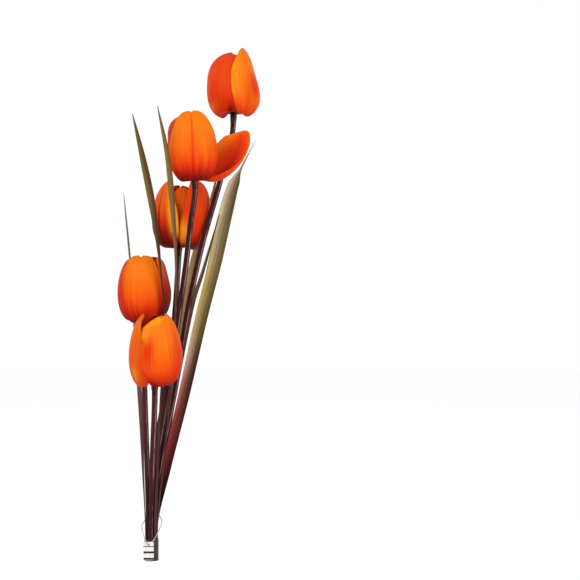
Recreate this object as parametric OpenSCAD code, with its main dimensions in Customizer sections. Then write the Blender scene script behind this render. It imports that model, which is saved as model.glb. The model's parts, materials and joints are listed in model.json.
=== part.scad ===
// Artificial tulip spray: five blooms on wired stems, six long leaves, bound at the foot.
// Millimetres. The origin is the centre of the cut stem ends, +Z up, the front faces -Y.

/* [Spray] */
// Height from the stem ends to the tips of the highest bloom
spray_h = 480; // [474:1:500]

/* [Blooms] */
// Height of a closed bloom
bloom_h = 66; // [62:0.5:68]
// Largest radius of a closed bloom
bloom_r = 25; // [23:0.25:26]
// Thickness of a petal
petal_t = 0.8; // [0.6:0.05:0.9]
// Step at the side edges of the outer petals that lets one lap over the next
lap_step = 1; // [0.9:0.05:1.1]
// Depth of the crease along the middle of a petal
crease_d = 0.7; // [0:0.1:0.9]

/* [Receptacle] */
// Radius of the drum that carries the outer petals
hub_r = 4.3; // [4:0.1:4.5]
// Radius of the drum that carries the inner petals
hub_top_r = 3.1; // [2.6:0.1:3.3]
// Radius of the rib between the two drums
hub_rib_r = 5.3; // [4.8:0.1:5.4]
// Height of the outer petals' claws above the lowest curve of the bloom
outer_seat_z = 9; // [8.5:0.1:9.5]
// Height of the inner petals' claws above the lowest curve of the bloom
inner_seat_z = 14; // [13.6:0.1:14.6]
// Thickness of the rib
rib_t = 1; // [0.8:0.1:1.2]
// Gap between a petal's claw and its drum, filled with glue
glue_gap = 0.3; // [0.2:0.05:0.4]

/* [Core] */
// Radius of the pin
pin_r = 1.2; // [1:0.05:1.4]
// Clearance round the pin in the receptacle and in the neck
pin_clear = 0.05; // [0.03:0.01:0.08]
// Length of the pin inside the neck
pin_grip = 8; // [6:0.25:8.5]
// Radius of the collar above the receptacle
collar_r = 2.5; // [2:0.1:3]
// Height of the collar
collar_h = 1.4; // [1:0.1:2]
// Height of the pistil above the collar
pistil_h = 17; // [14:0.5:20]
// Radius of the pistil
pistil_r = 1.9; // [1.5:0.1:2.2]
// Height of a stamen
stamen_h = 15; // [12:0.5:17]
// Radius of a stamen's thread
thread_r = 0.5; // [0.4:0.05:0.6]
// Radius of an anther
anther_r = 1; // [0.8:0.05:1.2]
// Length of an anther
anther_l = 5; // [4:0.25:6]

/* [Neck] */
// Radius of the neck at its top
neck_r = 3.2; // [2.9:0.05:3.4]
// Height of the neck's top above the lowest curve of the bloom
neck_top_z = 5; // [4.5:0.1:5.3]
// Length of the neck
neck_l = 11; // [10.5:0.25:13]
// Gap under the turning receptacle
turn_gap = 0.2; // [0.15:0.05:0.3]

/* [Stems] */
// Diameter of a stem at its cut end
stem_foot_d = 3.8; // [3.4:0.1:4]
// Diameter of a stem under its bloom
stem_top_d = 5.2; // [4.6:0.1:5.6]
// Diameter of the wire
wire_d = 1.4; // [1:0.1:1.6]
// Clearance round the wire
wire_clear = 0.15; // [0.1:0.05:0.2]

/* [Leaves] */
// Thickness of a leaf
leaf_t = 0.6; // [0.5:0.05:0.7]
// Width of each leaf where the binding holds it
leaf_foot_w = 3.9; // [3.4:0.1:4]
// Width of the widest leaf
leaf_w = 14; // [12:0.5:15]
// Width of a leaf at its very tip
leaf_tip_w = 0.5; // [0.4:0.1:1]

/* [Binding and tag] */
// Length of the stems that the binding covers
binding_h = 20; // [16:1:24]
// Thickness of the binding
binding_t = 0.6; // [0.5:0.05:0.8]
// Gap between stems, leaves and binding
foot_gap = 0.1; // [0.08:0.01:0.15]
// Width of the tag
tag_w = 9.5; // [8:0.5:12]
// Height of the tag
tag_h = 17; // [12:0.5:18]
// Thickness of the tag
tag_t = 0.5; // [0.4:0.1:0.8]
// Radius of the tag's corners
tag_corner_r = 1; // [0.5:0.1:2]
// Radius of the hole in the tag
tag_hole_r = 1.1; // [1:0.1:1.4]
// Distance from the hole's centre to the tag's top edge
tag_hole_inset = 2.2; // [2:0.1:3]
// Diameter of the plastic loop
loop_d = 0.8; // [0.6:0.1:0.9]
// Gap between the binding and the loop, which leaves room for the wall of a holder
loop_standoff = 1; // [0.9:0.1:1.5]

/* [Hidden] */
// Outer petals of each bloom: profile points after the claw, as shares of the bloom's radius and height
outer_profile_shares = [
    [[0.6, -0.35], [1.38, 0.28], [1.06, 0.38], [0.96, 0.96], [0.1, 0.99]],
    [[0.6, -0.3], [1.32, 0.34], [0.98, 0.28], [0.94, 0.92], [0.26, 0.95]],
    [[0.7, -0.33], [1.34, 0.39], [1.04, 0.29], [1.09, 0.97], [0.29, 1]],
    [[0.65, -0.3], [1.27, 0.34], [0.98, 0.26], [1.1, 0.9], [0.37, 0.93]],
    [[0.65, -0.34], [1.28, 0.38], [0.97, 0.29], [0.98, 0.97], [0.27, 1]]
];
// Inner petals, the same way
inner_profile_shares = [[0.61, 0.06], [0.8, 0.06], [0.92, 0.36], [0.73, 0.76], [0.23, 0.87]];
// The petal that has fallen open, the same way
open_profile_shares = [[0.6, -0.14], [1.1, -0.06], [1.66, 0.11], [2.06, 0.45], [2.17, 0.72]];

// Half the angle that each outer petal spans round its bloom, and that an inner one spans
outer_half = 72;
inner_half = 57;
half_shares = [[0.97, 1, 1.03], [0.85, 1.03, 1], [0.64, 0.79, 1.05], [0.7, 1, 1], [0.97, 1, 1.03]];
// Angle between two petals of a whorl, and what turns an outer petal from it
whorl_step = 120;
petal_turns = [[2, 0, -2], [0, 0, -6], [22, -2, 15], [6, 0, 0], [4, 0, 0]];
// How far the tip of an outer petal has turned aside, in degrees
petal_drifts = [[-6, 0, 4], [0, 0, 0], [-14, 16, 0], [-14, 0, 0], [0, 0, -8]];
// Width of an outer petal at its claw, bloom by bloom, and at its tip, as shares of its widest
claw_shares = [0.26, 0.68, 0.4, 0.68, 0.26];
tip_shares = [
    [0.7, 0.8, 0.85], [0.88, 0.8, 0.66], [0.66, 0.7, 0.66], [0.95, 0.66, 0.66], [1, 0.66, 0.6]
];
// How much lower the side corners of an outer petal's tip lie, and one of its sides (the first above 0,
// the second below 0), as shares of its length
corner_shares = [
    [0.12, 0.08, 0.12], [0.06, 0.08, 0.08], [0.08, 0.08, 0.08], [0.05, 0.08, 0.08], [0.08, 0.08, 0.12]
];
skew_shares = [[0, 0, 0], [0, 0, 0], [-0.1, 0.08, 0], [0, 0, 0], [0.1, 0, 0]];
// Height of each outer petal and depth of its lowest curve, as shares of its profile's
tall_shares = [[1.03, 0.97, 0.95], [1, 1, 1], [0.95, 0.98, 0.94], [1, 1, 1], [1, 1, 1]];
dip_shares = [[0.6, 0.6, 1], [1, 1, 1], [1, 1, 1], [1, 0.9, 1], [0.6, 0.6, 1.15]];
// The first three of these shares for an inner petal
inner_claw_share = 0.68;
inner_tip_share = 0.66;
inner_corner_share = 0.08;
// Where along the petal the lap has its full step
lap_share = 0.14;
// How much flatter the open petal is across than a closed one, and its turn about its length
open_flat = 1.4;
open_twist = -16;

// Each bloom: base [x, y, z] as shares of the spray's height, the bloom's radius and the spray's height
base_shares = [
    [0.1555, 1.52, 0.867], [0.085, -0.48, 0.733], [0.0475, 1.52, 0.609],
    [-0.0205, 0.88, 0.461], [0.0125, -1.2, 0.342]
];
// Lean of each bloom to the right and to the front, in degrees
leans = [[2, -3], [-2.5, 2], [4, 0], [1, 0], [1, 7]];
// Turn of each bloom's first outer petal about its axis
spins = [-30, -90, -150, -97, -52];
// Opening of each outer petal, counted from the first, and of the inner ones
outer_opens = [[-4, -2.5, 1], [-1, 0, 5], [6, 7, 9], [1, 4, 3], [-1, 0, 3]];
inner_opens = [[0, 0, 0], [0, 0, 0], [4, 3, 4], [0, 0, 0], [0, 0, 0]];
// Lap of each outer petal's two side edges: above 0 it lies over its neighbour, below 0 under it
laps = [
    [[2.1, 1.7], [-2, -1.9], [1.6, -3.1]],
    [[1, 1], [1, 1], [-1, -3.6]],
    [[1, 1], [-1, 1], [-1, -1]],
    [[1, 1], [-1, 1.3], [-1.3, -1]],
    [[1.5, 1.4], [-2, -1.5], [1, -3.5]]
];
// The bloom and the petal that hang open
open_bloom = 1;
open_petal = 1;

// Lean of the stamens, in degrees
stamen_tilt = 14;

// Routes: points [x, y, z] as shares of the spray's height, the bloom's radius and the spray's height
stem_shares = [
    [[0.016, 0.16, 0.181], [0.043, 0.36, 0.322], [0.066, 0.56, 0.471], [0.095, 0.7, 0.609],
        [0.13, 1.1, 0.739]],
    [[0.01, -0.04, 0.182], [0.03, 0.14, 0.323], [0.052, 0.14, 0.472], [0.067, 0.02, 0.577],
        [0.077, -0.24, 0.656]],
    [[0, 0.26, 0.18], [0.023, 0.72, 0.321], [0.039, 1.16, 0.464]],
    [[-0.0095, 0.13, 0.181], [-0.016, 0.5, 0.322]],
    [[0.004, -0.48, 0.185]]
];
leaf_shares = [
    [[-0.02, 0.4, 0.179], [-0.031, 1.16, 0.319], [-0.047, 1.92, 0.483], [-0.056, 2.16, 0.592],
        [-0.068, 2.28, 0.717]],
    [[0.0138, -0.23, 0.183], [0.02, -0.02, 0.324], [0.027, 0.02, 0.469], [0.021, -0.24, 0.542],
        [0.014, -0.36, 0.619], [0.003, -0.44, 0.696], [-0.014, -0.48, 0.778],
        [-0.034, -0.48, 0.861]],
    [[0.023, -0.11, 0.183], [0.038, -0.06, 0.324], [0.047, -0.12, 0.484], [0.05, -0.48, 0.577],
        [0.047, -1.04, 0.671], [0.039, -1.52, 0.773], [0.02, -1.68, 0.868]],
    [[0.031, 0.32, 0.18], [0.0625, 0.68, 0.319], [0.093, 1, 0.46], [0.119, 1.2, 0.567],
        [0.142, 1.44, 0.675], [0.162, 1.6, 0.747], [0.2, 1.72, 0.824]],
    [[0.003, 0.58, 0.179], [0.036, 1.24, 0.319], [0.058, 2.08, 0.509], [0.079, 2.42, 0.611],
        [0.109, 2.62, 0.712], [0.124, 2.68, 0.782]],
    [[0.0195, 0.54, 0.179], [0.042, 0.98, 0.321], [0.073, 1.14, 0.484], [0.097, 1.22, 0.563],
        [0.128, 1.32, 0.674]]
];
// Turn of each stem and each leaf round the foot
stem_turns = [54, -18, 126, 198, 270];
leaf_turns = [182, -42, 3, 48, 138, 93];
// The way each leaf's back faces half way up and at the tip; at the foot it faces out of the bundle
leaf_faces = [[235, 120], [-20, -60], [-20, -60], [65, 65], [110, 90], [70, 50]];
// Greatest width of each leaf, as a share of the widest, and where along the leaf it lies
leaf_width_shares = [0.46, 0.52, 0.43, 1, 0.45, 0.38];
leaf_peak_shares = [0.3, 0.8, 0.8, 0.78, 0.6, 0.6];
// Share of its width that a leaf gains just above the binding, and share of its length in which it does
leaf_early_shares = [1, 0.1, 0.1, 0.75, 0.3, 0.1];
leaf_rise_share = 0.25;
// Bend of a leaf across its width, in degrees from its middle to its edge
leaf_bend = 34;

// Step along a profile at which its slope is taken, as a share of its length
slope_share = 0.01;
// Facets: across and along an outer petal, an inner petal and a leaf
outer_grid = [8, 7];
inner_grid = [6, 6];
leaf_across = 4;
stem_sides = 8;
wire_sides = 6;
samples = 3;
round_fn = 48;
thread_fn = 6;

blooms = len(base_shares);
leaves = len(leaf_shares);
petals = 3;
stem_foot_r = stem_foot_d / 2;
stem_top_r = stem_top_d / 2;
wire_r = wire_d / 2;
// The stems stand in a ring, just clear of each other, and the leaves in a ring round them
ring_r = (stem_foot_r + foot_gap / 2) / sin(180 / blooms);
leaf_ring_r = ring_r + stem_foot_r + foot_gap;
binding_r = leaf_ring_r + leaf_t + foot_gap;
hub_bottom_z = neck_top_z + turn_gap;
hub_top_z = inner_seat_z + rib_t;
rib_z = outer_seat_z + petal_t + glue_gap;
collar_z = hub_top_z + turn_gap;
bore_r = pin_r + pin_clear;
socket_depth = pin_grip + turn_gap;
neck_bottom_z = neck_top_z - neck_l;
binding_out_r = binding_r + binding_t;
loop_y = -binding_out_r - loop_standoff - loop_d / 2;
tag_y = loop_y - loop_d - tag_t / 2;
tag_x = -0.27 * binding_out_r;
tag_top_z = binding_h - loop_d * 2;
tag_hole_z = tag_top_z - tag_hole_inset;
loop_samples = 3;
// The loop's points: behind the bundle, down its right side, behind the tag, through its hole, up the left
loop_route = [
    [0, 1.6 * binding_out_r, 2.1 * binding_h],
    [1.4 * binding_out_r, 0.5 * binding_out_r, 1.8 * binding_h],
    [tag_x + 0.85 * binding_out_r, loop_y + loop_d * 1.25, tag_top_z + loop_d * 4],
    [tag_x + loop_d, loop_y, tag_hole_z + loop_d / 2],
    [tag_x, tag_y, tag_hole_z],
    [tag_x - loop_d, tag_y - tag_t / 2 - loop_d, tag_hole_z + loop_d / 2],
    [tag_x - 0.45 * binding_out_r, tag_y - loop_d, tag_top_z + loop_d * 3],
    [-1.35 * binding_out_r, 0.3 * binding_out_r, 1.6 * binding_h]
];

// Vectors
function unit(v) = v / norm(v);
function lerp(a, b, t) = a + (b - a) * t;
function smooth(t) = t * t * (3 - 2 * t);
function clamp(t) = min(1, max(0, t));
// A point given as shares of the spray's height and the bloom's radius
function placed(s) = [s[0] * spray_h, s[1] * bloom_r, s[2] * spray_h];
function spot(turn, r, z) = [r * cos(turn), r * sin(turn), z];

// Bloom frames
function axis_of(k) = unit([tan(leans[k][0]), -tan(leans[k][1]), 1]);
function base_of(k) = placed(base_shares[k]);
module in_bloom(k) {
    translate(base_of(k))
        rotate([0, acos(axis_of(k)[2]), atan2(axis_of(k)[1], axis_of(k)[0])])
            rotate([0, 0, -atan2(axis_of(k)[1], axis_of(k)[0])])
                children();
}

// Bezier curve through its end points, by repeated halving of the control polygon
function casteljau(p, t) = len(p) == 1
    ? p[0]
    : casteljau([for (i = [0:len(p) - 2]) lerp(p[i], p[i + 1], t)], t);
function profile_of(claw, shares, tall = 1, dip = 1) = concat(
    [claw],
    [for (i = [0:len(shares) - 1]) [
        shares[i][0] * bloom_r, shares[i][1] * bloom_h * tall * (i == 0 ? dip : 1)
    ]]
);
outer_claw = [hub_r + glue_gap, outer_seat_z];
inner_claw = [hub_top_r + glue_gap, inner_seat_z];

// Outward normal of a profile, in its own plane
function profile_normal(p, t) = let (
        a = casteljau(p, max(0, t - slope_share)),
        b = casteljau(p, min(1, t + slope_share)),
        d = unit(b - a)
    ) [d[1], -d[0]];

// Share of a petal's greatest width at v along its length, from its width shares at claw and tip
function petal_width(ends, v) = (ends[0] + (1 - ends[0]) * (1 - pow(1 - v, 4)))
    * (1 - (1 - ends[1]) * pow(v, 6));

// A point of a petal: u runs -1 to 1 across it, v 0 to 1 along it, and depth goes in from its back.
// The first profile gives the length, the second the radius that the petal was moulded on.
// The cut holds how much lower the side corners and one side lie.
function petal_point(u, v, depth, path, mould, half, ends, cut, drift, lap, flat, twist, open) = let (
        fall = cut[0] * pow(abs(u), 3) + abs(cut[1]) * (1 - sign(cut[1]) * u) / 2,
        along = v * (1 - fall * v * v),
        step = lerp(lap[0], lap[1], (u + 1) / 2) * lap_step * min(1, v / lap_share)
            - crease_d * max(0, 1 - abs(u) * 4) * v,
        c = casteljau(path, along),
        n = profile_normal(path, along),
        out = flat > 1 ? n : [1, 0],
        ring = casteljau(mould, along)[0] * flat,
        phi = u * half * petal_width(ends, v) / flat + drift * v * v,
        mid = c + n * (step - depth),
        inward = ring * (1 - cos(phi)),
        side = ring * sin(phi),
        turn = twist * smooth(v),
        lifted = mid - out * (inward * cos(turn) - side * sin(turn)),
        across = side * cos(turn) + inward * sin(turn),
        dr = lifted[0] - path[0][0],
        dz = lifted[1] - path[0][1]
    ) [
        path[0][0] + dr * cos(open) + dz * sin(open),
        across,
        path[0][1] - dr * sin(open) + dz * cos(open)
    ];

// A closed sheet between two grids of points
module sheet(front, back) {
    nv = len(front);
    nu = len(front[0]);
    n = nu * nv;
    function id(side, i, j) = side * n + j * nu + i;
    points = concat([for (row = front) for (p = row) p], [for (row = back) for (p = row) p]);
    faces = concat(
        [for (j = [0:nv - 2], i = [0:nu - 2]) [id(0, i, j), id(0, i + 1, j + 1), id(0, i + 1, j)]],
        [for (j = [0:nv - 2], i = [0:nu - 2]) [id(0, i, j), id(0, i, j + 1), id(0, i + 1, j + 1)]],
        [for (j = [0:nv - 2], i = [0:nu - 2]) [id(1, i, j), id(1, i + 1, j), id(1, i + 1, j + 1)]],
        [for (j = [0:nv - 2], i = [0:nu - 2]) [id(1, i, j), id(1, i + 1, j + 1), id(1, i, j + 1)]],
        [for (i = [0:nu - 2]) [id(1, i, 0), id(0, i, 0), id(0, i + 1, 0)]],
        [for (i = [0:nu - 2]) [id(1, i, 0), id(0, i + 1, 0), id(1, i + 1, 0)]],
        [for (i = [0:nu - 2]) [id(0, i, nv - 1), id(1, i, nv - 1), id(0, i + 1, nv - 1)]],
        [for (i = [0:nu - 2]) [id(0, i + 1, nv - 1), id(1, i, nv - 1), id(1, i + 1, nv - 1)]],
        [for (j = [0:nv - 2]) [id(0, 0, j), id(1, 0, j), id(0, 0, j + 1)]],
        [for (j = [0:nv - 2]) [id(0, 0, j + 1), id(1, 0, j), id(1, 0, j + 1)]],
        [for (j = [0:nv - 2]) [id(1, nu - 1, j), id(0, nu - 1, j), id(0, nu - 1, j + 1)]],
        [for (j = [0:nv - 2]) [id(1, nu - 1, j), id(0, nu - 1, j + 1), id(1, nu - 1, j + 1)]]
    );
    polyhedron(points, faces);
}

module petal(grid, path, mould, half, ends, cut, drift, lap, flat, twist, open) {
    layers = [
        for (depth = [0, petal_t]) [
            for (j = [0:grid[1]]) [
                for (i = [0:grid[0]]) petal_point(
                    i / grid[0] * 2 - 1, j / grid[1], depth, path, mould, half, ends, cut, drift,
                    lap, flat, twist, open
                )
            ]
        ]
    ];
    sheet(layers[0], layers[1]);
}

module outer_petal(k, j) {
    hangs = k == open_bloom && j == open_petal;
    closed_profile = profile_of(outer_claw, outer_profile_shares[k], tall_shares[k][j], dip_shares[k][j]);
    color("orangered")
        in_bloom(k)
            rotate([0, 0, spins[k] + whorl_step * j + petal_turns[k][j]])
                petal(
                    outer_grid, hangs ? profile_of(outer_claw, open_profile_shares) : closed_profile,
                    closed_profile, outer_half * half_shares[k][j], [claw_shares[k], tip_shares[k][j]],
                    [corner_shares[k][j], skew_shares[k][j]], petal_drifts[k][j], laps[k][j],
                    hangs ? open_flat : 1, hangs ? open_twist : 0, outer_opens[k][j]
                );
}

module inner_petal(k, j) {
    inner_profile = profile_of(inner_claw, inner_profile_shares);
    color("darkorange")
        in_bloom(k)
            rotate([0, 0, spins[k] + whorl_step * (j + 0.5)])
                petal(
                    inner_grid, inner_profile, inner_profile, inner_half,
                    [inner_claw_share, inner_tip_share], [inner_corner_share, 0], 0, [0, 0], 1, 0,
                    inner_opens[k][j]
                );
}

// Bored hub with a drum for each whorl and a rib between them
module receptacle(k) {
    color("olive")
        in_bloom(k)
            rotate_extrude($fn = round_fn)
                polygon([
                    [bore_r, hub_bottom_z], [hub_top_r, hub_bottom_z], [hub_r, outer_seat_z - rib_t],
                    [hub_r, rib_z], [hub_rib_r, rib_z], [hub_rib_r, rib_z + rib_t / 2],
                    [hub_top_r, rib_z + rib_t], [hub_top_r, hub_top_z], [bore_r, hub_top_z]
                ]);
}

// Pistil and stamens on the pin that plugs into the neck
module core(k) {
    thread_ring = collar_r - thread_r;
    color("gold")
        in_bloom(k) {
            translate([0, 0, neck_top_z - pin_grip])
                cylinder(r = pin_r, h = collar_z - neck_top_z + pin_grip, $fn = round_fn);
            translate([0, 0, collar_z])
                cylinder(r = collar_r, h = collar_h, $fn = round_fn);
            translate([0, 0, collar_z + collar_h])
                rotate_extrude($fn = round_fn)
                    polygon([
                        [0, 0], [pistil_r - thread_r, 0], [pistil_r - thread_r, pistil_h * 0.7],
                        [pistil_r, pistil_h * 0.8], [pistil_r, pistil_h * 0.9], [0, pistil_h]
                    ]);
            for (i = [0:petals * 2 - 1])
                rotate([0, 0, i * whorl_step / 2])
                    translate([thread_ring, 0, collar_z + collar_h / 2])
                        rotate([0, stamen_tilt, 0]) {
                            cylinder(r = thread_r, h = stamen_h, $fn = thread_fn);
                            translate([0, 0, stamen_h - anther_l / 2])
                                cylinder(r1 = anther_r, r2 = thread_r, h = anther_l, $fn = thread_fn);
                        }
        }
}

// Moulded end of the stem, with the socket for the core's pin
module neck(k) {
    color("saddlebrown")
        in_bloom(k)
            rotate_extrude($fn = round_fn)
                polygon([
                    [0, neck_bottom_z], [stem_top_r, neck_bottom_z], [neck_r, neck_bottom_z + neck_l / 2],
                    [neck_r, neck_top_z - rib_t], [neck_r - rib_t / 2, neck_top_z], [bore_r, neck_top_z],
                    [bore_r, neck_top_z - socket_depth], [0, neck_top_z - socket_depth]
                ]);
}

// Smooth route through points: straight up inside the binding, then a spline that ends along a direction
function hermite(a, b, ta, tb, t) = a * (1 + t * t * (2 * t - 3)) + b * smooth(t)
    + ta * (t * (1 - t) * (1 - t)) - tb * (t * t * (1 - t));
function spline(p, first, last) = let (
        n = len(p),
        tangents = [
            for (i = [0:n - 1]) i == 0
                ? first * norm(p[1] - p[0])
                : i == n - 1
                    ? last * norm(p[n - 1] - p[n - 2])
                    : (p[i + 1] - p[i - 1]) / 2
        ]
    ) [
        for (i = [0:n - 2], s = [0:samples - 1])
            hermite(p[i], p[i + 1], tangents[i], tangents[i + 1], s / samples),
        p[n - 1]
    ];
function headings(path, first, last) = let (n = len(path)) [
    for (i = [0:n - 1]) i == 0 ? first : i == n - 1 ? last : unit(path[i + 1] - path[i - 1])
];

// A ring of points round a route, and a tube with a bore between two sets of rings
function ring_points(centre, heading, r, sides, aside = [0, 1, 0]) = let (
        side = unit(cross(aside, heading)),
        back = cross(heading, side)
    ) [
        for (i = [0:sides - 1])
            centre + side * (r * cos(i * 360 / sides)) + back * (r * sin(i * 360 / sides))
    ];
module rod(rings) {
    m = len(rings);
    n = len(rings[0]);
    points = [for (ring = rings) for (p = ring) p];
    faces = concat(
        [for (j = [0:m - 2], i = [0:n - 1]) [j * n + i, (j + 1) * n + (i + 1) % n, j * n + (i + 1) % n]],
        [for (j = [0:m - 2], i = [0:n - 1]) [j * n + i, (j + 1) * n + i, (j + 1) * n + (i + 1) % n]],
        [[for (i = [0:n - 1]) i]],
        [[for (i = [n - 1:-1:0]) (m - 1) * n + i]]
    );
    polyhedron(points, faces);
}
module tube(outer, inner) {
    m = len(outer);
    n = len(outer[0]);
    t = m * n;
    points = concat([for (ring = outer) for (p = ring) p], [for (ring = inner) for (p = ring) p]);
    faces = concat(
        [for (j = [0:m - 2], i = [0:n - 1]) [j * n + i, (j + 1) * n + (i + 1) % n, j * n + (i + 1) % n]],
        [for (j = [0:m - 2], i = [0:n - 1]) [j * n + i, (j + 1) * n + i, (j + 1) * n + (i + 1) % n]],
        [for (j = [0:m - 2], i = [0:n - 1]) [t + j * n + i, t + j * n + (i + 1) % n,
            t + (j + 1) * n + (i + 1) % n]],
        [for (j = [0:m - 2], i = [0:n - 1]) [t + j * n + i, t + (j + 1) * n + (i + 1) % n,
            t + (j + 1) * n + i]],
        [for (i = [0:n - 1]) [i, t + (i + 1) % n, t + i]],
        [for (i = [0:n - 1]) [i, (i + 1) % n, t + (i + 1) % n]],
        [for (i = [0:n - 1]) [t - n + i, 2 * t - n + (i + 1) % n, t - n + (i + 1) % n]],
        [for (i = [0:n - 1]) [t - n + i, 2 * t - n + i, 2 * t - n + (i + 1) % n]]
    );
    polyhedron(points, faces);
}

function stem_top(k) = base_of(k) + axis_of(k) * neck_bottom_z;
function stem_route(k) = concat(
    [spot(stem_turns[k], ring_r, 0)],
    spline(
        concat(
            [spot(stem_turns[k], ring_r, binding_h)],
            [for (s = stem_shares[k]) placed(s)],
            [stem_top(k)]
        ),
        [0, 0, 1], axis_of(k)
    )
);
// Share of the way from the binding to the end of a route
function along(route, i) = clamp((route[i][2] - binding_h) / (route[len(route) - 1][2] - binding_h));
function stem_headings(k) = headings(stem_route(k), [0, 0, 1], axis_of(k));

module stem(k) {
    route = stem_route(k);
    heads = stem_headings(k);
    last = len(route) - 1;
    color("brown")
        tube(
            [for (i = [0:last]) ring_points(
                route[i], heads[i], lerp(stem_foot_r, stem_top_r, along(route, i)), stem_sides
            )],
            [for (i = [0:last]) ring_points(
                route[i], heads[i], (wire_r + wire_clear) / cos(180 / stem_sides), stem_sides
            )]
        );
}

module stem_wire(k) {
    route = stem_route(k);
    heads = stem_headings(k);
    color("silver")
        rod([for (i = [0:len(route) - 1]) ring_points(route[i], heads[i], wire_r, wire_sides)]);
}

module stem_wires() {
    for (k = [0:blooms - 1])
        stem_wire(k);
}

// Leaves: a strip bent across its width, whose back faces out of the bundle at the foot
function leaf_route(k) = concat(
    [spot(leaf_turns[k], leaf_ring_r, 0)],
    spline(
        concat(
            [spot(leaf_turns[k], leaf_ring_r, binding_h)],
            [for (s = leaf_shares[k]) placed(s)]
        ),
        [0, 0, 1], unit(placed(leaf_shares[k][len(leaf_shares[k]) - 1])
            - placed(leaf_shares[k][len(leaf_shares[k]) - 2]))
    )
);
function leaf_width(k, s) = let (
        widest = leaf_w * leaf_width_shares[k],
        early = smooth(min(1, s / leaf_rise_share)),
        peak = leaf_peak_shares[k]
    ) s < peak
        ? lerp(leaf_foot_w, widest, lerp(smooth(s / peak), early, leaf_early_shares[k]))
        : lerp(leaf_tip_w, widest, 1 - pow((s - peak) / (1 - peak), 2));
function leaf_face(k, s) = s < 0.5
    ? lerp(leaf_turns[k], leaf_faces[k][0], smooth(s * 2))
    : lerp(leaf_faces[k][0], leaf_faces[k][1], smooth(s * 2 - 1));
// Points across a leaf: an arc, of the ring's own radius at the foot
function leaf_section(centre, heading, face, width, bend, depth) = let (
        radius = width / (bend * PI / 90),
        aim = spot(face, 1, 0),
        side = unit(cross(heading, aim)),
        out = cross(side, heading)
    ) [
        for (i = [0:leaf_across]) let (phi = bend * (i / leaf_across * 2 - 1))
            centre + side * ((radius + depth) * sin(phi))
                + out * ((radius + depth) * cos(phi) - radius)
    ];

module leaf(k) {
    route = leaf_route(k);
    last = len(route) - 1;
    heads = headings(route, [0, 0, 1], unit(route[last] - route[last - 1]));
    foot_bend = leaf_foot_w / leaf_ring_r * 90 / PI;
    layers = [
        for (depth = [leaf_t, 0]) [
            for (i = [0:last]) let (s = along(route, i)) leaf_section(
                    route[i], heads[i], leaf_face(k, s), leaf_width(k, s),
                    lerp(foot_bend, leaf_bend, smooth(min(1, s * 4))), depth
                )
        ]
    ];
    color("olivedrab")
        sheet(layers[0], layers[1]);
}

// Collar of tape round the foot of the bundle
module binding() {
    color("dimgray")
        difference() {
            cylinder(r = binding_r + binding_t, h = binding_h, $fn = round_fn);
            translate([0, 0, -binding_t])
                cylinder(r = binding_r, h = binding_h + 2 * binding_t, $fn = round_fn);
        }
}

// Card tag in front of the binding, hanging on its loop
module tag() {
    color("white")
        translate([tag_x, tag_y, tag_top_z])
            rotate([90, 0, 0])
                difference() {
                    translate([0, -tag_h / 2])
                        linear_extrude(tag_t, center = true)
                            offset(tag_corner_r, $fn = round_fn)
                                square([tag_w - 2 * tag_corner_r, tag_h - 2 * tag_corner_r], center = true);
                    translate([0, -tag_hole_inset])
                        cylinder(r = tag_hole_r, h = 2 * tag_t, center = true, $fn = round_fn);
                }
}

// Plastic loop: round the bundle above the binding, down in front of it and through the tag's hole
module tag_loop() {
    p = loop_route;
    n = len(p);
    closed = [
        for (i = [0:n - 1], s = [0:loop_samples - 1]) let (
                a = p[i],
                b = p[(i + 1) % n],
                ta = (b - p[(i + n - 1) % n]) / 2,
                tb = (p[(i + 2) % n] - a) / 2
            ) hermite(a, b, ta, tb, s / loop_samples)
    ];
    m = len(closed);
    points = [
        for (i = [0:m - 1]) each ring_points(
            closed[i], unit(closed[(i + 1) % m] - closed[(i + m - 1) % m]), loop_d / 2, wire_sides, [0, 0, 1]
        )
    ];
    function id(j, i) = (j % m) * wire_sides + i % wire_sides;
    color("whitesmoke")
        polyhedron(points, concat(
            [for (j = [0:m - 1], i = [0:wire_sides - 1]) [id(j, i), id(j + 1, i + 1), id(j, i + 1)]],
            [for (j = [0:m - 1], i = [0:wire_sides - 1]) [id(j, i), id(j + 1, i), id(j + 1, i + 1)]]
        ));
}

for (k = [1:blooms], j = [1:petals]) {
    outer_petal(k - 1, j - 1);
    inner_petal(k - 1, j - 1);
}
for (k = [1:blooms]) {
    receptacle(k - 1);
    core(k - 1);
    neck(k - 1);
    stem(k - 1);
}
for (k = [1:leaves])
    leaf(k - 1);
stem_wires();
binding();
tag();
tag_loop();
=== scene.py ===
import json
import math

import bpy
import numpy as np
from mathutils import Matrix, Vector


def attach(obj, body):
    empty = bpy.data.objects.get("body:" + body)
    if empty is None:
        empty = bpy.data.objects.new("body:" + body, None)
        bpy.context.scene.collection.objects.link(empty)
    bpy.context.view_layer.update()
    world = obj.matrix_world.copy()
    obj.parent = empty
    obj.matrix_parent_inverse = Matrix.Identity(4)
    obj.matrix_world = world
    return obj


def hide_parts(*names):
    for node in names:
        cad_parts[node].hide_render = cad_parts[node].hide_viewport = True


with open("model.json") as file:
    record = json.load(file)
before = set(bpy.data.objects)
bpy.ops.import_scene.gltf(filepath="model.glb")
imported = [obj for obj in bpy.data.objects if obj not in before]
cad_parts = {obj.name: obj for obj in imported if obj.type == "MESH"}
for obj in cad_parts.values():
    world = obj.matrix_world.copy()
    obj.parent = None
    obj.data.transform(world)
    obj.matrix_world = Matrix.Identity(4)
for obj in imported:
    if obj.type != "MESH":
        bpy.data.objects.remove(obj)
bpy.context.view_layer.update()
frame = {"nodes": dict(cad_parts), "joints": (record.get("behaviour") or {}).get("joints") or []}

# Sizes in metres
SPRAY_H = 0.480
BLOOM_H = 0.066
BLOOM_R = 0.025
PETAL_T = 0.0008
LAP_STEP = 0.001
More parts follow.
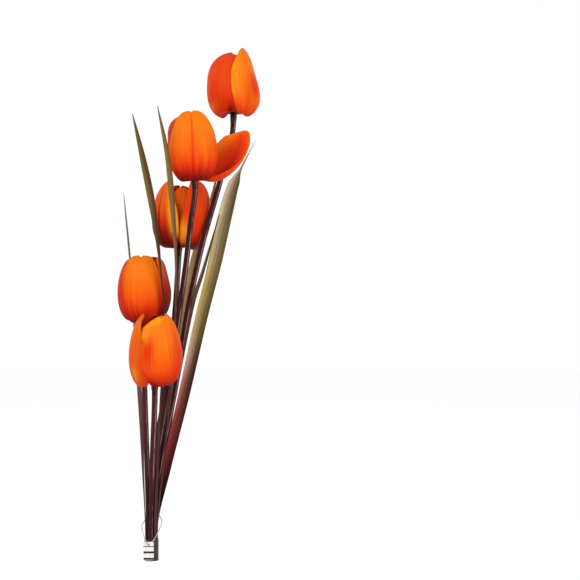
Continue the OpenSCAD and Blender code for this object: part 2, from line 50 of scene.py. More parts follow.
CREASE_D = 0.0007
OUTER_CLAW = (0.0046, 0.009)
INNER_CLAW = (0.0034, 0.014)
NECK_R = 0.0032
NECK_TOP_Z = 0.005
NECK_L = 0.011
NECK_ROUND_R = 0.0006
NECK_FLARE_SHARE = 0.5
SOCKET_R = 0.00125
SOCKET_L = 0.0082
STEM_FOOT_R = 0.0019
STEM_TOP_R = 0.0027
STEM_TAPER_SHARE = 0.5
BORE_R = 0.00085
STEM_FLUTES = 9
STEM_FLUTE_SHARE = 0.06
LEAF_T = 0.0006
LEAF_FOOT_W = 0.0039
LEAF_W = 0.014
LEAF_TIP_W = 0.0005
FOOT_GAP = 0.0001
BINDING_H = 0.020
BINDING_T = 0.0006
BINDING_TURNS = 6
BINDING_LIP = 0.00012
TAG_W = 0.0095
TAG_H = 0.017
TAG_T = 0.0005
TAG_BOW = 0.0003
TAG_CORNER_R = 0.001
TAG_HOLE_R = 0.0011
TAG_HOLE_INSET = 0.0022
LOOP_D = 0.0008
LOOP_STANDOFF = 0.001
TAG_X_SHARE = -0.27

# Petal profiles after the claw: shares of the bloom's radius and height, bloom by bloom
OUTER_SHARES = [
    [(0.6, -0.35), (1.38, 0.28), (1.06, 0.38), (0.96, 0.96), (0.1, 0.99)],
    [(0.6, -0.3), (1.32, 0.34), (0.98, 0.28), (0.94, 0.92), (0.26, 0.95)],
    [(0.7, -0.33), (1.34, 0.39), (1.04, 0.29), (1.09, 0.97), (0.29, 1)],
    [(0.65, -0.3), (1.27, 0.34), (0.98, 0.26), (1.1, 0.9), (0.37, 0.93)],
    [(0.65, -0.34), (1.28, 0.38), (0.97, 0.29), (0.98, 0.97), (0.27, 1)],
]
INNER_SHARES = [(0.61, 0.06), (0.8, 0.06), (0.92, 0.36), (0.73, 0.76), (0.23, 0.87)]
OPEN_SHARES = [(0.6, -0.13), (1.1, -0.04), (1.6, 0.14), (2.0, 0.46), (2.2, 0.7)]
BLOOMS = 5
PETALS = 3
PETAL_STEP = 120
OPEN_PETAL = (2, 2)
OPEN_FLAT = 1.7
OPEN_TWIST = -16
OUTER_HALF = 72
INNER_HALF = 57
LAP_SHARE = 0.14
NOTCH_POWER = 14
CORNER_POWER = 3
CLAW_POWER = 4
TIP_POWER = 6
CREASE_SHARE = 0.25
CREASE_TOP_REACH = 0.07
CREASE_TOP_SPAN = (0.55, 0.95)
RIB_TURN = 17
RIB_REACH = 0.7
RIB_SPAN = (0.1, 0.4)
PLEAT_TURN = 165
PLEAT_SLOPE = 55
PLEAT_SPAN = (-0.1, -0.5)
PLEAT_PLACE = (0.7, 0.12)

# Outer petals, bloom by bloom, with a value for each petal. Angles are in degrees. SPINS turns the
# whole whorl, PETAL_DRIFTS moves the tip sideways, and LAPS gives the steps at a petal's two edges.
SPINS = [-30, -90, -150, -97, -52]
CLAW_SHARES = [
    (0.4, 0.5, 0.8), (0.68, 0.68, 0.68), (0.4, 0.4, 0.4), (0.68, 0.68, 0.68), (0.26, 0.26, 0.26),
]
PETAL_TURNS = [(2, 0, -2), (3, 0, -6), (22, -2, 15), (10, 0, 9), (4, 0, 0)]
PETAL_DRIFTS = [(2, 0, 4), (0, 0, 0), (-14, 16, 0), (-14, 0, 0), (0, 0, -8)]
HALF_SHARES = [(0.97, 1, 1.03), (0.89, 1.03, 1), (0.64, 0.85, 1.05), (0.7, 1, 1), (0.97, 1, 1.03)]
TIP_SHARES = [
    (0.9, 0.8, 1), (0.88, 1.1, 0.66), (0.66, 1, 0.66), (0.95, 1, 0.66), (1.05, 0.66, 0.6),
]
CORNER_SHARES = [
    (0.16, 0.08, 0.08), (0.06, 0.1, 0.08), (0.08, 0.03, 0.08), (0.05, 0.05, 0.08),
    (0.08, 0.08, 0.22),
]
SKEW_SHARES = [(0.08, 0, 0), (0, 0, 0), (-0.1, 0, 0), (0, 0, 0), (0.1, 0, 0)]
TALL_SHARES = [(1.03, 0.97, 0.95), (1, 1, 1), (0.95, 0.98, 0.94), (1, 1, 1), (1, 1, 1)]
DIP_SHARES = [(0.42, 0.45, 0.6), (1, 1, 1), (1, 1, 1), (1, 0.9, 1), (0.6, 0.6, 1.15)]
OUTER_OPENS = [(-4, -2.5, 1), (-1, 0, 5), (6, 7, 9), (1, 4, 3), (-1, 0, 3)]
INNER_OPENS = [(0, 0, 0), (0, 0, 0), (4, 3, 4), (0, 0, 0), (0, 0, 0)]
LAPS = [
    [(2.1, 1.7), (-2, -1.9), (1.6, -2.1)],
    [(1, 1), (1, 1), (-1, -3.6)],
    [(1, 1), (-1, 1), (-1, -1)],
    [(1, 1), (-1, 1.3), (-1.3, -1)],
    [(1.5, 1.4), (-2, -1.5), (1, -3.5)],
]

# Routes as shares of the spray's height, the bloom's radius and the spray's height
STEM_SHARES = [
    [(0.016, 0.16, 0.181), (0.043, 0.36, 0.322), (0.066, 0.56, 0.471), (0.095, 0.7, 0.609),
     (0.13, 1.1, 0.739)],
    [(0.01, -0.04, 0.182), (0.03, 0.14, 0.323), (0.052, 0.14, 0.472), (0.067, 0.02, 0.577),
     (0.077, -0.24, 0.656)],
    [(0, 0.26, 0.18), (0.023, 0.72, 0.321), (0.039, 1.16, 0.464)],
    [(-0.0095, 0.13, 0.181), (-0.016, 0.5, 0.322)],
    [(0.004, -0.48, 0.185)],
]
LEAF_SHARES = [
    [(-0.02, 0.4, 0.179), (-0.031, 1.16, 0.319), (-0.047, 1.92, 0.483), (-0.056, 2.16, 0.592),
     (-0.068, 2.28, 0.717)],
    [(0.0138, -0.23, 0.183), (0.02, -0.02, 0.324), (0.027, 0.02, 0.469), (0.021, -0.24, 0.542),
     (0.014, -0.36, 0.619), (0.003, -0.44, 0.696), (-0.014, -0.48, 0.778),
     (-0.034, -0.48, 0.861)],
    [(0.023, -0.11, 0.183), (0.038, -0.06, 0.324), (0.047, -0.12, 0.484), (0.05, -0.48, 0.577),
     (0.047, -1.04, 0.671), (0.039, -1.52, 0.773), (0.02, -1.68, 0.868)],
    [(0.031, 0.32, 0.18), (0.0625, 0.68, 0.319), (0.093, 1, 0.46), (0.119, 1.2, 0.567),
     (0.142, 1.44, 0.675), (0.162, 1.6, 0.747), (0.2, 1.72, 0.824)],
    [(0.003, 0.58, 0.179), (0.036, 1.24, 0.319), (0.058, 2.08, 0.509), (0.079, 2.42, 0.611),
     (0.109, 2.62, 0.712), (0.124, 2.68, 0.782)],
    [(0.019, 0.54, 0.179), (0.041, 0.98, 0.321), (0.073, 1.14, 0.484), (0.097, 1.22, 0.563),
     (0.128, 1.32, 0.674)],
]
STEM_TURNS = [54, -18, 126, 198, 270]
LEAF_TURNS = [182, -42, 3, 48, 138, 93]
LEAF_FACES = [(235, 120), (-35, -65), (-35, -60), (65, 65), (110, 90), (70, 50)]
LEAF_WIDTH_SHARES = [0.46, 0.56, 0.46, 1.03, 0.45, 0.4]
LEAF_PEAK_SHARES = [0.3, 0.8, 0.8, 0.78, 0.6, 0.6]
LEAF_EARLY_SHARES = [1, 0.1, 0.1, 0.75, 0.3, 0.1]
LEAF_RISE_SHARE = 0.25
LEAF_BEND = 34
LEAF_BEND_SHARE = 0.25
LEAF_EDGE_SHARE = 0.35
# Leaves that stay narrow low down: where they thin, where they widen, and the share that they lose
LEAF_THIN_SPANS = {2: (0.33, 0.45), 3: (0.1, 0.35)}
LEAF_WIDEN_SPANS = {2: (0.6, 0.82), 3: (0.55, 0.85)}
LEAF_THIN_SHARE = 0.4
# Leaves whose tip narrows at a shoulder: from where to where, and the tip's share. The leaf swells a
# little below it.
LEAF_SHOULDERS = {4: (0.93, 0.885, 0.25)}
SWELL_SHARE = 0.12
SWELL_SPAN = (0.75, 0.6)

RING_R = (STEM_FOOT_R + FOOT_GAP / 2) / math.sin(math.pi / BLOOMS)
LEAF_RING_R = RING_R + STEM_FOOT_R + FOOT_GAP
BINDING_OUT_R = LEAF_RING_R + LEAF_T + FOOT_GAP + BINDING_T
TAG_X = TAG_X_SHARE * BINDING_OUT_R
LOOP_Y = -BINDING_OUT_R - LOOP_STANDOFF - LOOP_D / 2
TAG_Y = LOOP_Y - LOOP_D - TAG_T / 2
TAG_TOP_Z = BINDING_H - LOOP_D * 2
TAG_HOLE_Z = TAG_TOP_Z - TAG_HOLE_INSET


def smooth(t):
    """Smooth step from 0 to 1 for t from 0 to 1."""
    return t * t * (3 - 2 * t)


def ramp(t, low, high):
    """0 below low, 1 above high and smooth between them; low may be above high."""
    return smooth(np.clip((t - low) / (high - low), 0, 1))


def bell(t, centre, width):
    """1 at the centre, falling off on both sides."""
    return np.exp(-(((t - centre) / width) ** 2))


def unit(v):
    """Vectors scaled to a length of 1."""
    v = np.asarray(v, float)
    return v / np.linalg.norm(v, axis=-1, keepdims=True)


def srgb(code):
    """Linear colour of a web colour."""
    parts = [int(code[i:i + 2], 16) / 255 for i in (1, 3, 5)]
    return (*[p / 12.92 if p <= 0.04045 else ((p + 0.055) / 1.055) ** 2.4 for p in parts], 1.0)


class Shader:
    """A material whose nodes are made by short calls; each call returns a socket."""

    def __init__(self, name):
        self.material = bpy.data.materials.new(name)
        self.material.use_nodes = True
        self.tree = self.material.node_tree
        self.surface = self.tree.nodes["Principled BSDF"]

    def feed(self, socket, value):
        if isinstance(value, bpy.types.NodeSocket):
            self.tree.links.new(value, socket)
        else:
            socket.default_value = value

    def node(self, kind, inputs, **settings):
        made = self.tree.nodes.new("ShaderNode" + kind)
        for key, value in settings.items():
            setattr(made, key, value)
        for key, value in inputs.items():
            self.feed(made.inputs[key], value)
        return made

    def math(self, operation, a, b=0.0):
        return self.node("Math", {0: a, 1: b}, operation=operation).outputs[0]

    def span(self, value, low, high):
        inputs = {"Value": value, "From Min": low, "From Max": high}
        return self.node("MapRange", inputs, interpolation_type="SMOOTHSTEP").outputs[0]

    def mix(self, factor, a, b, blend="MIX"):
        made = self.node("Mix", {0: factor, 6: a, 7: b}, data_type="RGBA", blend_type=blend)
        return made.outputs[2]

    def colours(self, factor, stops):
        made = self.node("ValToRGB", {0: factor})
        elements = made.color_ramp.elements
        while len(elements) < len(stops):
            elements.new(1.0)
        for element, (place, code) in zip(elements, stops):
            element.position = place
            element.color = srgb(code)
        return made.outputs[0]

    def noise(self, vector, stretch, detail):
        """Noise on a vector that is multiplied by the stretch first."""
        stretched = self.node("Mapping", {"Vector": vector, "Scale": stretch}).outputs[0]
        inputs = {"Vector": stretched, "Scale": 1.0, "Detail": detail}
        return self.node("TexNoise", inputs).outputs[0]

    def uv(self):
        made = self.node("UVMap", {}, uv_map="place")
        parts = self.node("SeparateXYZ", {0: made.outputs[0]}).outputs
        return made.outputs[0], parts[0], parts[1]

    def place(self):
        return self.node("TexCoord", {}).outputs["Object"]

    def bump(self, height, distance, strength):
        inputs = {"Height": height, "Distance": distance, "Strength": strength}
        self.feed(self.surface.inputs["Normal"], self.node("Bump", inputs).outputs[0])

    def set(self, **values):
        for key, value in values.items():
            self.feed(self.surface.inputs[key.replace("_", " ")], value)
        return self.material


# Petal colours: the outside from the hub to the tip, in orange and in red, and the inside from its
# middle outwards
WARM_STOPS = [
    (0.0, "#6d0a08"), (0.23, "#84100a"), (0.31, "#b41c0a"), (0.4, "#de380c"), (0.5, "#f05410"),
    (0.62, "#f56a0f"), (0.78, "#f67a14"), (1.0, "#f78216"),
]
RED_STOPS = [
    (0.0, "#6b0a08"), (0.23, "#800e09"), (0.33, "#ae1607"), (0.45, "#d62808"), (0.7, "#de330b"),
    (1.0, "#e84410"),
]
INSIDE_STOPS = [
    (0.0, "#980b0a"), (0.22, "#ca1a0c"), (0.42, "#f43612"), (0.75, "#ff5816"), (1.0, "#ff841c"),
]


def petal_material():
    """Airbrushed petal: orange over red, by the petal's own paint, with fine veins along it, gold
    edges with painted highlights, and painted shade where it lies in shade.
    """
    s = Shader("petal_fabric")
    place, u, v = s.uv()
    paint = s.node("Attribute", {}, attribute_name="paint")
    # Red of the paint is the heat, green the gold edges with painted highlights, blue painted shade
    # with a deeper red at some bases
    heat, gold, shade_and_deep_red = s.node("SeparateColor", {0: paint.outputs["Color"]}).outputs
    inner = paint.outputs["Alpha"]
    seed = s.node("ObjectInfo", {}).outputs["Random"]
    shift = s.node("CombineXYZ", {0: s.math("MULTIPLY", seed, 31.0)}).outputs[0]
    moved = s.node("VectorMath", {0: place, 1: shift}, operation="ADD").outputs[0]
    wash = s.math("SUBTRACT", s.noise(moved, (5, 2.5, 1), 3.0), 0.5)
    streaks = s.noise(moved, (24, 1.4, 1), 3.0)
    veins = s.noise(moved, (90, 2.4, 1), 2.0)
    off = s.math("ADD", s.math("MULTIPLY", wash, 0.55),
                 s.math("MULTIPLY", s.math("SUBTRACT", streaks, 0.5), 0.75))
    # Lift shifts the colours along the ramps; raised on petals that lie in shade, it is painted
    # light
    lift = s.node("Attribute", {}, attribute_name="lift").outputs["Fac"]
    up = s.math("ADD", s.math("ADD", v, lift), s.math("MULTIPLY", off, 0.3))
    heated = s.span(s.math("ADD", heat, off), 0.0, 1.0)
    outer = s.mix(heated, s.colours(up, WARM_STOPS), s.colours(up, RED_STOPS))
    # Painted shade: the outside darkens to deep red where the petal lies in shade
    outer = s.mix(shade_and_deep_red, outer, srgb("#5a0a0a"))
    # Gold edges together with painted highlights on rims and tips, mottled by the wash
    golden = s.math("ADD", gold, s.math("MULTIPLY", s.math("MULTIPLY", off, gold), 1.5))
    # Painted highlight along the pleat crests, added to the gold
    fold = s.node("Attribute", {}, attribute_name="pleat").outputs["Fac"]
    golden = s.math("ADD", golden, s.math("MULTIPLY", fold, 0.45))
    outer = s.mix(s.span(golden, 0.0, 1.0), outer, srgb("#f8a01e"))
    across = s.math("ABSOLUTE", s.math("SUBTRACT", s.math("MULTIPLY", u, 2.0), 1.0))
    spread = s.math("ADD", s.math("MULTIPLY", across, 0.6), s.math("MULTIPLY", up, 0.35))
    spread = s.math("SUBTRACT", spread, s.math("MULTIPLY", heat, 0.2))
    # Painted shade on the inside too
    inside = s.mix(shade_and_deep_red, s.colours(spread, INSIDE_STOPS), srgb("#8a0c0a"))
    # Gold edges and painted highlights on the inside
    inside = s.mix(s.span(gold, 0.0, 1.0), inside, srgb("#fb961c"))
    colour = s.mix(inner, outer, inside)
    lines = s.math("ADD", s.math("MULTIPLY", s.math("SUBTRACT", veins, 0.5), 0.9), 1.0)
    bright = s.math("ADD", s.math("MULTIPLY", lines, 0.25), 0.75)
    tinted = s.mix(1.0, colour, s.node("CombineColor", {0: bright, 1: lines, 2: lines}).outputs[0],
                   "MULTIPLY")
    relief = s.math("ADD", s.math("MULTIPLY", veins, 0.5), s.math("MULTIPLY", streaks, 0.8))
    s.bump(relief, 0.0005, 0.6)
    rough = s.math("ADD", 0.45, s.math("MULTIPLY", veins, 0.16))
    return s.set(Base_Color=tinted, Roughness=rough, Subsurface_Weight=0.03,
                 Subsurface_Scale=0.002, Specular_IOR_Level=0.05)


def stem_material():
    """Coated stem: dark purple-brown, redder lower down, with thin painted highlight lines along it.
    """
    s = Shader("stem_coating")
    place, u, v = s.uv()
    streaks = s.noise(place, (16, 9, 1), 3.0)
    patches = s.noise(place, (3, 26, 1), 2.0)
    base = s.colours(v, [(0.0, "#200c0d"), (0.14, "#381418"), (0.3, "#4e1e20"), (0.5, "#361416"),
                         (1.0, "#341416")])
    colour = s.mix(s.span(streaks, 0.5, 0.75), base, srgb("#5c2c2c"))
    colour = s.mix(s.math("MULTIPLY", s.span(patches, 0.45, 0.75), 0.6), colour, srgb("#1e0c0e"))
    # Painted highlight: thin pale lines round the stem, standing in for the glossy coat's highlights
    around = s.math("SINE", s.math("MULTIPLY", s.math("SUBTRACT", u, 0.1), 6.0 * math.pi))
    painted_highlight_line = s.math("MULTIPLY", s.span(around, 0.8, 1.0), s.span(patches, 0.35, 0.6))
    colour = s.mix(s.math("MULTIPLY", painted_highlight_line, 0.8), colour, srgb("#b08480"))
    s.bump(streaks, 0.0003, 0.5)
    rough = s.math("ADD", 0.3, s.math("MULTIPLY", patches, 0.2))
    return s.set(Base_Color=colour, Roughness=rough, Specular_IOR_Level=0.1)


def leaf_material():
    """Long leaf: the paint of each half, with its painted light and shade, and parallel veins."""
    s = Shader("leaf_blade")
    place = s.uv()[0]
    tint = s.node("Attribute", {}, attribute_name="paint").outputs["Color"]
    veins = s.noise(place, (30, 5, 1), 3.0)
    blotches = s.noise(place, (2, 14, 1), 2.0)
    lines = s.math("ADD", s.math("MULTIPLY", s.math("SUBTRACT", veins, 0.5), 0.7), 1.0)
    lines = s.math("ADD", lines, s.math("MULTIPLY", s.math("SUBTRACT", blotches, 0.5), 0.3))
    shade = s.node("CombineColor", {0: lines, 1: lines, 2: lines}).outputs[0]
    s.bump(veins, 0.0003, 0.5)
    rough = s.math("ADD", 0.4, s.math("MULTIPLY", blotches, 0.2))
    return s.set(Base_Color=s.mix(1.0, tint, shade, "MULTIPLY"), Roughness=rough,
                 Specular_IOR_Level=0.2)


def tape_material():
    """Stretched tape, crinkled along its turns."""
    s = Shader("tape")
    place = s.uv()[0]
    crinkle = s.noise(place, (60, 14, 1), 3.0)
    colour = s.mix(s.span(crinkle, 0.35, 0.75), srgb("#1d0e0f"), srgb("#43211f"))
    s.bump(crinkle, 0.0002, 0.6)
    return s.set(Base_Color=colour, Roughness=0.5)


def card_material():
    """White card with two plain dark bars."""
    s = Shader("card")
    v = s.uv()[2]
    fibre = s.noise(s.place(), (900, 900, 900), 3.0)
    paper = s.mix(fibre, srgb("#e9e8e4"), srgb("#f7f6f3"))
    bars = s.math("MULTIPLY", s.span(s.math("SINE", s.math("MULTIPLY", v, 18.0)), 0.5, 0.56),
                  s.span(v, 0.8, 0.76))
    s.bump(fibre, 0.00005, 0.5)
    return s.set(Base_Color=s.mix(bars, paper, srgb("#1b1a1a")), Roughness=0.55)


def loop_material():
    """Milky nylon."""
    s = Shader("nylon")
    cloud = s.noise(s.place(), (300, 300, 300), 2.0)
    colour = s.mix(cloud, srgb("#b9b0ae"), srgb("#ded8d5"))
    s.bump(cloud, 0.00004, 0.4)
    return s.set(Base_Color=colour, Roughness=0.3, Transmission_Weight=0.3)


def moulded_material(name, deep, pale, roughness):
    """Moulded plastic with a slight mottle."""
    s = Shader(name)
    mottle = s.noise(s.place(), (420, 420, 420), 3.0)
    s.bump(mottle, 0.0001, 0.5)
    return s.set(Base_Color=s.mix(mottle, srgb(deep), srgb(pale)), Roughness=roughness)


def wire_material():
    """Drawn steel, streaked along the wire."""
    s = Shader("wire_steel")
    lines = s.noise(s.place(), (2500, 2500, 60), 2.0)
    rough = s.math("ADD", 0.25, s.math("MULTIPLY", lines, 0.25))
    s.bump(lines, 0.00003, 0.4)
    return s.set(Base_Color=s.mix(lines, srgb("#8d8d8f"), srgb("#c3c3c5")), Metallic=1.0,
                 Roughness=rough)


def add_piece(name, points, faces, places, paint, material, body, nodes, extra=None):
    """Smooth mesh object from points, faces, a place on the surface and a paint for each point."""
    mesh = bpy.data.meshes.new(name)
    mesh.from_pydata(points.tolist(), [], faces.tolist())
    layer = mesh.uv_layers.new(name="place")
    corners = np.zeros(len(mesh.loops), np.int32)
    mesh.loops.foreach_get("vertex_index", corners)
    layer.data.foreach_set("uv", places[corners].astype(np.float32).ravel())
    if paint is not None:
        mesh.attributes.new("paint", "FLOAT_COLOR", "POINT").data.foreach_set(
            "color", paint.astype(np.float32).ravel())
    for key, values in (extra or {}).items():
        mesh.attributes.new(key, "FLOAT", "POINT").data.foreach_set(
            "value", values.astype(np.float32).ravel())
    mesh.polygons.foreach_set("use_smooth", np.ones(len(mesh.polygons), bool))
    mesh.materials.append(material)
    mesh.validate()
    mesh.update()
    piece = bpy.data.objects.new(name, mesh)
    bpy.context.scene.collection.objects.link(piece)
    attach(piece, body)
    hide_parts(*nodes)
    return piece


def grid_faces(rows, columns, start=0, wrap=False, flip=False):
    """Quads of a grid of points counted row by row."""
    across = columns if wrap else columns - 1
    j, i = np.meshgrid(np.arange(rows - 1), np.arange(across), indexing="ij")
    nxt = (i + 1) % columns
    quads = np.stack([j * columns + i, j * columns + nxt, (j + 1) * columns + nxt,
                      (j + 1) * columns + i], -1).reshape(-1, 4) + start
    return quads[:, ::-1] if flip else quads


def band_faces(first, second, sides, flip=False):
    """Quads between two rings of points, which start at the two given numbers."""
    i = np.arange(sides)
    nxt = (i + 1) % sides
    quads = np.stack([first + i, first + nxt, second + nxt, second + i], -1)
    return quads[:, ::-1] if flip else quads


def edge_faces(rows, columns, flip=False):
    """Quads that join the rims of two like grids, counted one after the other."""
    rim = np.concatenate([
        np.arange(columns), np.arange(1, rows) * columns + columns - 1,
        (rows - 1) * columns + np.arange(columns - 2, -1, -1),
        np.arange(rows - 2, 0, -1) * columns,
    ])
    count = rows * columns
    after = np.roll(rim, -1)
    quads = np.stack([rim, rim + count, after + count, after], -1)
    return quads[:, ::-1] if flip else quads


def stacked(*parts):
    """Arrays stacked along a new last side, after each has grown to the common shape."""
    return np.stack(np.broadcast_arrays(*parts), -1)


def full_turn(sides):
    """Angle of each of so many points round a ring."""
    return np.arange(sides) * 2 * math.pi / sides


def bernstein(points, t):
    """Point of a Bezier curve at each t."""
    n = len(points) - 1
    return sum(math.comb(n, i) * (t ** i * (1 - t) ** (n - i))[..., None] * np.asarray(p, float)
               for i, p in enumerate(points))


def outward(points, t):
    """Outward normal of a profile at each t, in its own plane."""
    n = len(points) - 1
    steps = [n * (np.asarray(b, float) - np.asarray(a, float)) for a, b in zip(points, points[1:])]
    d = unit(bernstein(steps, t))
    return np.stack([d[..., 1], -d[..., 0]], -1)


def profile(claw, shares, tall=1, dip=1):
    """Points of a petal's profile in metres; tall scales its heights and dip its lowest one."""
    heights = [shares[0][1] * dip] + [s[1] for s in shares[1:]]
    return [claw] + [(s[0] * BLOOM_R, z * BLOOM_H * tall) for s, z in zip(shares, heights)]


# Finer shape and paint of a petal. Dents: place (u, v), reach (u, v), amount as a share of the
# bloom's radius. Strokes of paint: kind, place (u, v), reach (u, v), amount. Shares and strokes
# that darken a petal towards deep red are painted shade in creases, seams, notches and on back
# petals, and a deeper red at bloom 3's bases; shares and strokes of gold are the petals' gold edges
# together with painted highlights on rims and tips. A raised lift on a petal that lies in shade is
# painted light.
PLAIN = {
    "grid": (49, 73), "notch": (0.0, 0.022, 0.16), "crease_top": 0.0008, "ribs": 0.00004,
    "pleat": 0.0, "heat": 0.3, "gold": (0.0, 0.0), "shade_and_deep_red": 0.0, "lift": 0.0, "dents": [],
    "strokes": [],
}
OUTER_LOOKS = {
    (1, 1): {
        "grid": (81, 241), "heat": 0.2, "gold": (0.45, 0.0), "pleat": 0.0004, "lift": 0.24,
        "notch": (-0.1, 0.0, 0.16), "top": [(0.9, 0.86), (0.3, 1.0)],
        "dents": [(0.45, 0.68, 0.6, 0.2, -0.13)],
        "strokes": [("heat", -0.08, 0.56, 0.22, 0.13, 1.0), ("heat", -0.45, 0.45, 0.15, 0.3, 0.3)]},
    (1, 2): {"heat": 0.8, "lift": 0.1, "dents": [(-1.0, 0.73, 0.6, 0.17, -0.22)]},
    (1, 3): {
        "heat": 0.9, "lift": 0.32, "notch": (0.0, 0.0, 0.16),
        "dents": [(-0.35, 0.77, 0.5, 0.16, 0.13)],
        "strokes": [("heat", -0.15, 0.3, 0.3, 0.1, -0.7), ("shade_and_deep_red", -0.5, 0.6, 0.12, 0.4, 0.35),
                    ("shade_and_deep_red", 0.75, 0.2, 0.14, 0.14, 0.9)]},
    (2, 1): {"heat": 0.05, "dents": [(0.9, 0.75, 0.4, 0.22, 0.06)], "strokes": [
        ("heat", 0.0, 0.6, 0.06, 0.6, 0.7), ("heat", 0.0, 0.25, 1.0, 0.08, 0.6),
        ("gold", 0.45, 0.55, 0.25, 0.25, 0.2)]},
    # The open petal: its raised lift is painted light on its shaded inside, the gold strokes along
    # its rims are painted highlights and its darkening stroke is painted shade
    (2, 2): {"heat": 0.3, "lift": 0.75, "notch": (0.0, 0.0, 0.16), "strokes": [
        ("shade_and_deep_red", 0.1, 0.25, 0.3, 0.3, 0.4), ("gold", -1.0, 0.8, 0.12, 0.2, 0.4),
        ("heat", 0.0, 0.25, 2.0, 0.35, 1.0), ("gold", 0.0, 1.0, 1.0, 0.05, 0.4)]},
    (2, 3): {"heat": 0.9, "shade_and_deep_red": 0.4, "dents": [(0.4, 0.83, 0.45, 0.13, 0.13)]},
    (3, 1): {"heat": 0.0, "gold": (0.0, 1.0), "lift": -0.16, "strokes": [
        ("gold", 0.6, 0.7, 0.2, 0.3, 0.5), ("heat", -0.6, 0.6, 0.45, 0.5, 0.8),
        ("shade_and_deep_red", -0.02, 0.55, 0.08, 0.25, 0.85), ("shade_and_deep_red", -0.2, 0.3, 0.5, 0.09, 0.8)]},
    (3, 2): {"heat": 0.75, "lift": 0.05, "strokes": [
        ("shade_and_deep_red", 0.45, 0.42, 0.2, 0.15, 0.8), ("gold", -0.85, 0.42, 0.25, 0.16, 0.7),
        ("shade_and_deep_red", 0.0, 0.2, 2.0, 0.1, 0.75)]},
    (3, 3): {"heat": 0.7},
    (4, 1): {"heat": 0.0, "notch": (-0.1, 0.03, 0.1), "strokes": [
        ("heat", -0.95, 0.5, 0.25, 0.5, 0.6), ("heat", 0.95, 0.5, 0.25, 0.5, 0.7)]},
    # Bloom 4's back petal: its darkening is painted shade, and the two strokes that take darkening
    # and red off near its tip are painted light
    (4, 2): {"heat": 0.9, "shade_and_deep_red": 0.75, "dents": [(-0.35, 0.78, 0.4, 0.14, -0.1)], "strokes": [
        ("shade_and_deep_red", -1.0, 0.85, 0.45, 0.35, -0.9), ("heat", -0.8, 0.95, 0.35, 0.2, -0.6)]},
    (4, 3): {"heat": 0.9, "shade_and_deep_red": 0.1},
    # Its gold strokes near the tip and upper edge are painted highlights; its darkening strokes are
    # painted shade at the base notch and at a dimple by the seam
    (5, 1): {"heat": 0.25, "lift": 0.08, "notch": (0.2, 0.02, 0.1), "strokes": [
        ("heat", 0.4, 0.45, 0.35, 0.4, 0.6), ("heat", -0.75, 0.66, 0.2, 0.14, 0.6),
        ("shade_and_deep_red", -0.8, 0.22, 0.2, 0.1, 0.5), ("gold", -0.95, 0.85, 0.25, 0.1, 0.45),
        ("gold", -0.4, 0.96, 0.5, 0.07, 0.6), ("shade_and_deep_red", -1.0, 0.79, 0.1, 0.05, 0.7)]},
    (5, 2): {"heat": 1.0, "lift": -0.25},
    (5, 3): {"heat": 0.55, "lift": 0.25, "strokes": [
        ("gold", 0.45, 0.4, 0.18, 0.12, 0.5), ("gold", 0.6, 0.9, 0.3, 0.08, 0.35)]},
}
INNER_LOOKS = {
    (1, 1): {"dents": [(-0.3, 0.75, 0.8, 0.25, -0.14)]},
    # Bloom 3's inner petal lies in shade: its raised lift is painted light
    (3, 1): {"heat": 0.5, "lift": 0.6},
    (3, 3): {"heat": 0.8},
    (5, 1): {"heat": 1.0, "lift": -0.25},
    (5, 2): {"heat": 1.0},
    (5, 3): {"heat": 1.0, "lift": -0.25},
}


def outer_look(bloom, n):
    """Shape and paint of an outer petal, as the tables give them."""
    k, j = bloom - 1, n - 1
    own = OUTER_LOOKS.get((bloom, n), {})
    shares = OUTER_SHARES[k][:-2] + own.get("top", OUTER_SHARES[k][-2:])
    mould = profile(OUTER_CLAW, shares, TALL_SHARES[k][j], DIP_SHARES[k][j])
    hangs = (bloom, n) == OPEN_PETAL
    return {
        **PLAIN, "path": profile(OUTER_CLAW, OPEN_SHARES) if hangs else mould, "mould": mould,
        "flat": OPEN_FLAT if hangs else 1.0, "twist": OPEN_TWIST if hangs else 0,
        "half": OUTER_HALF * HALF_SHARES[k][j], "drift": PETAL_DRIFTS[k][j],
        "claw": CLAW_SHARES[k][j], "tip": TIP_SHARES[k][j], "corner": CORNER_SHARES[k][j],
        "skew": SKEW_SHARES[k][j], "lap": LAPS[k][j], "opening": OUTER_OPENS[k][j], **own,
    }


def inner_look(bloom, n):
    """The same of an inner petal."""
    mould = profile(INNER_CLAW, INNER_SHARES)
    return {
        **PLAIN, "grid": (33, 49), "path": mould, "mould": mould, "flat": 1.0, "twist": 0,
        "half": INNER_HALF, "drift": 0, "claw": 0.68, "tip": 0.66, "corner": 0.08, "skew": 0,
        "lap": (0, 0), "opening": INNER_OPENS[bloom - 1][n - 1], "heat": 0.9, "crease_top": 0.0004,
        **INNER_LOOKS.get((bloom, n), {}),
    }


def pleats(u, v):
    """Wave of the slanting pleats beside a petal's left edge, from -1 to 1."""
    return np.sin(v * PLEAT_TURN + u * PLEAT_SLOPE) * (ramp(u, *PLEAT_SPAN) * bell(v, *PLEAT_PLACE))


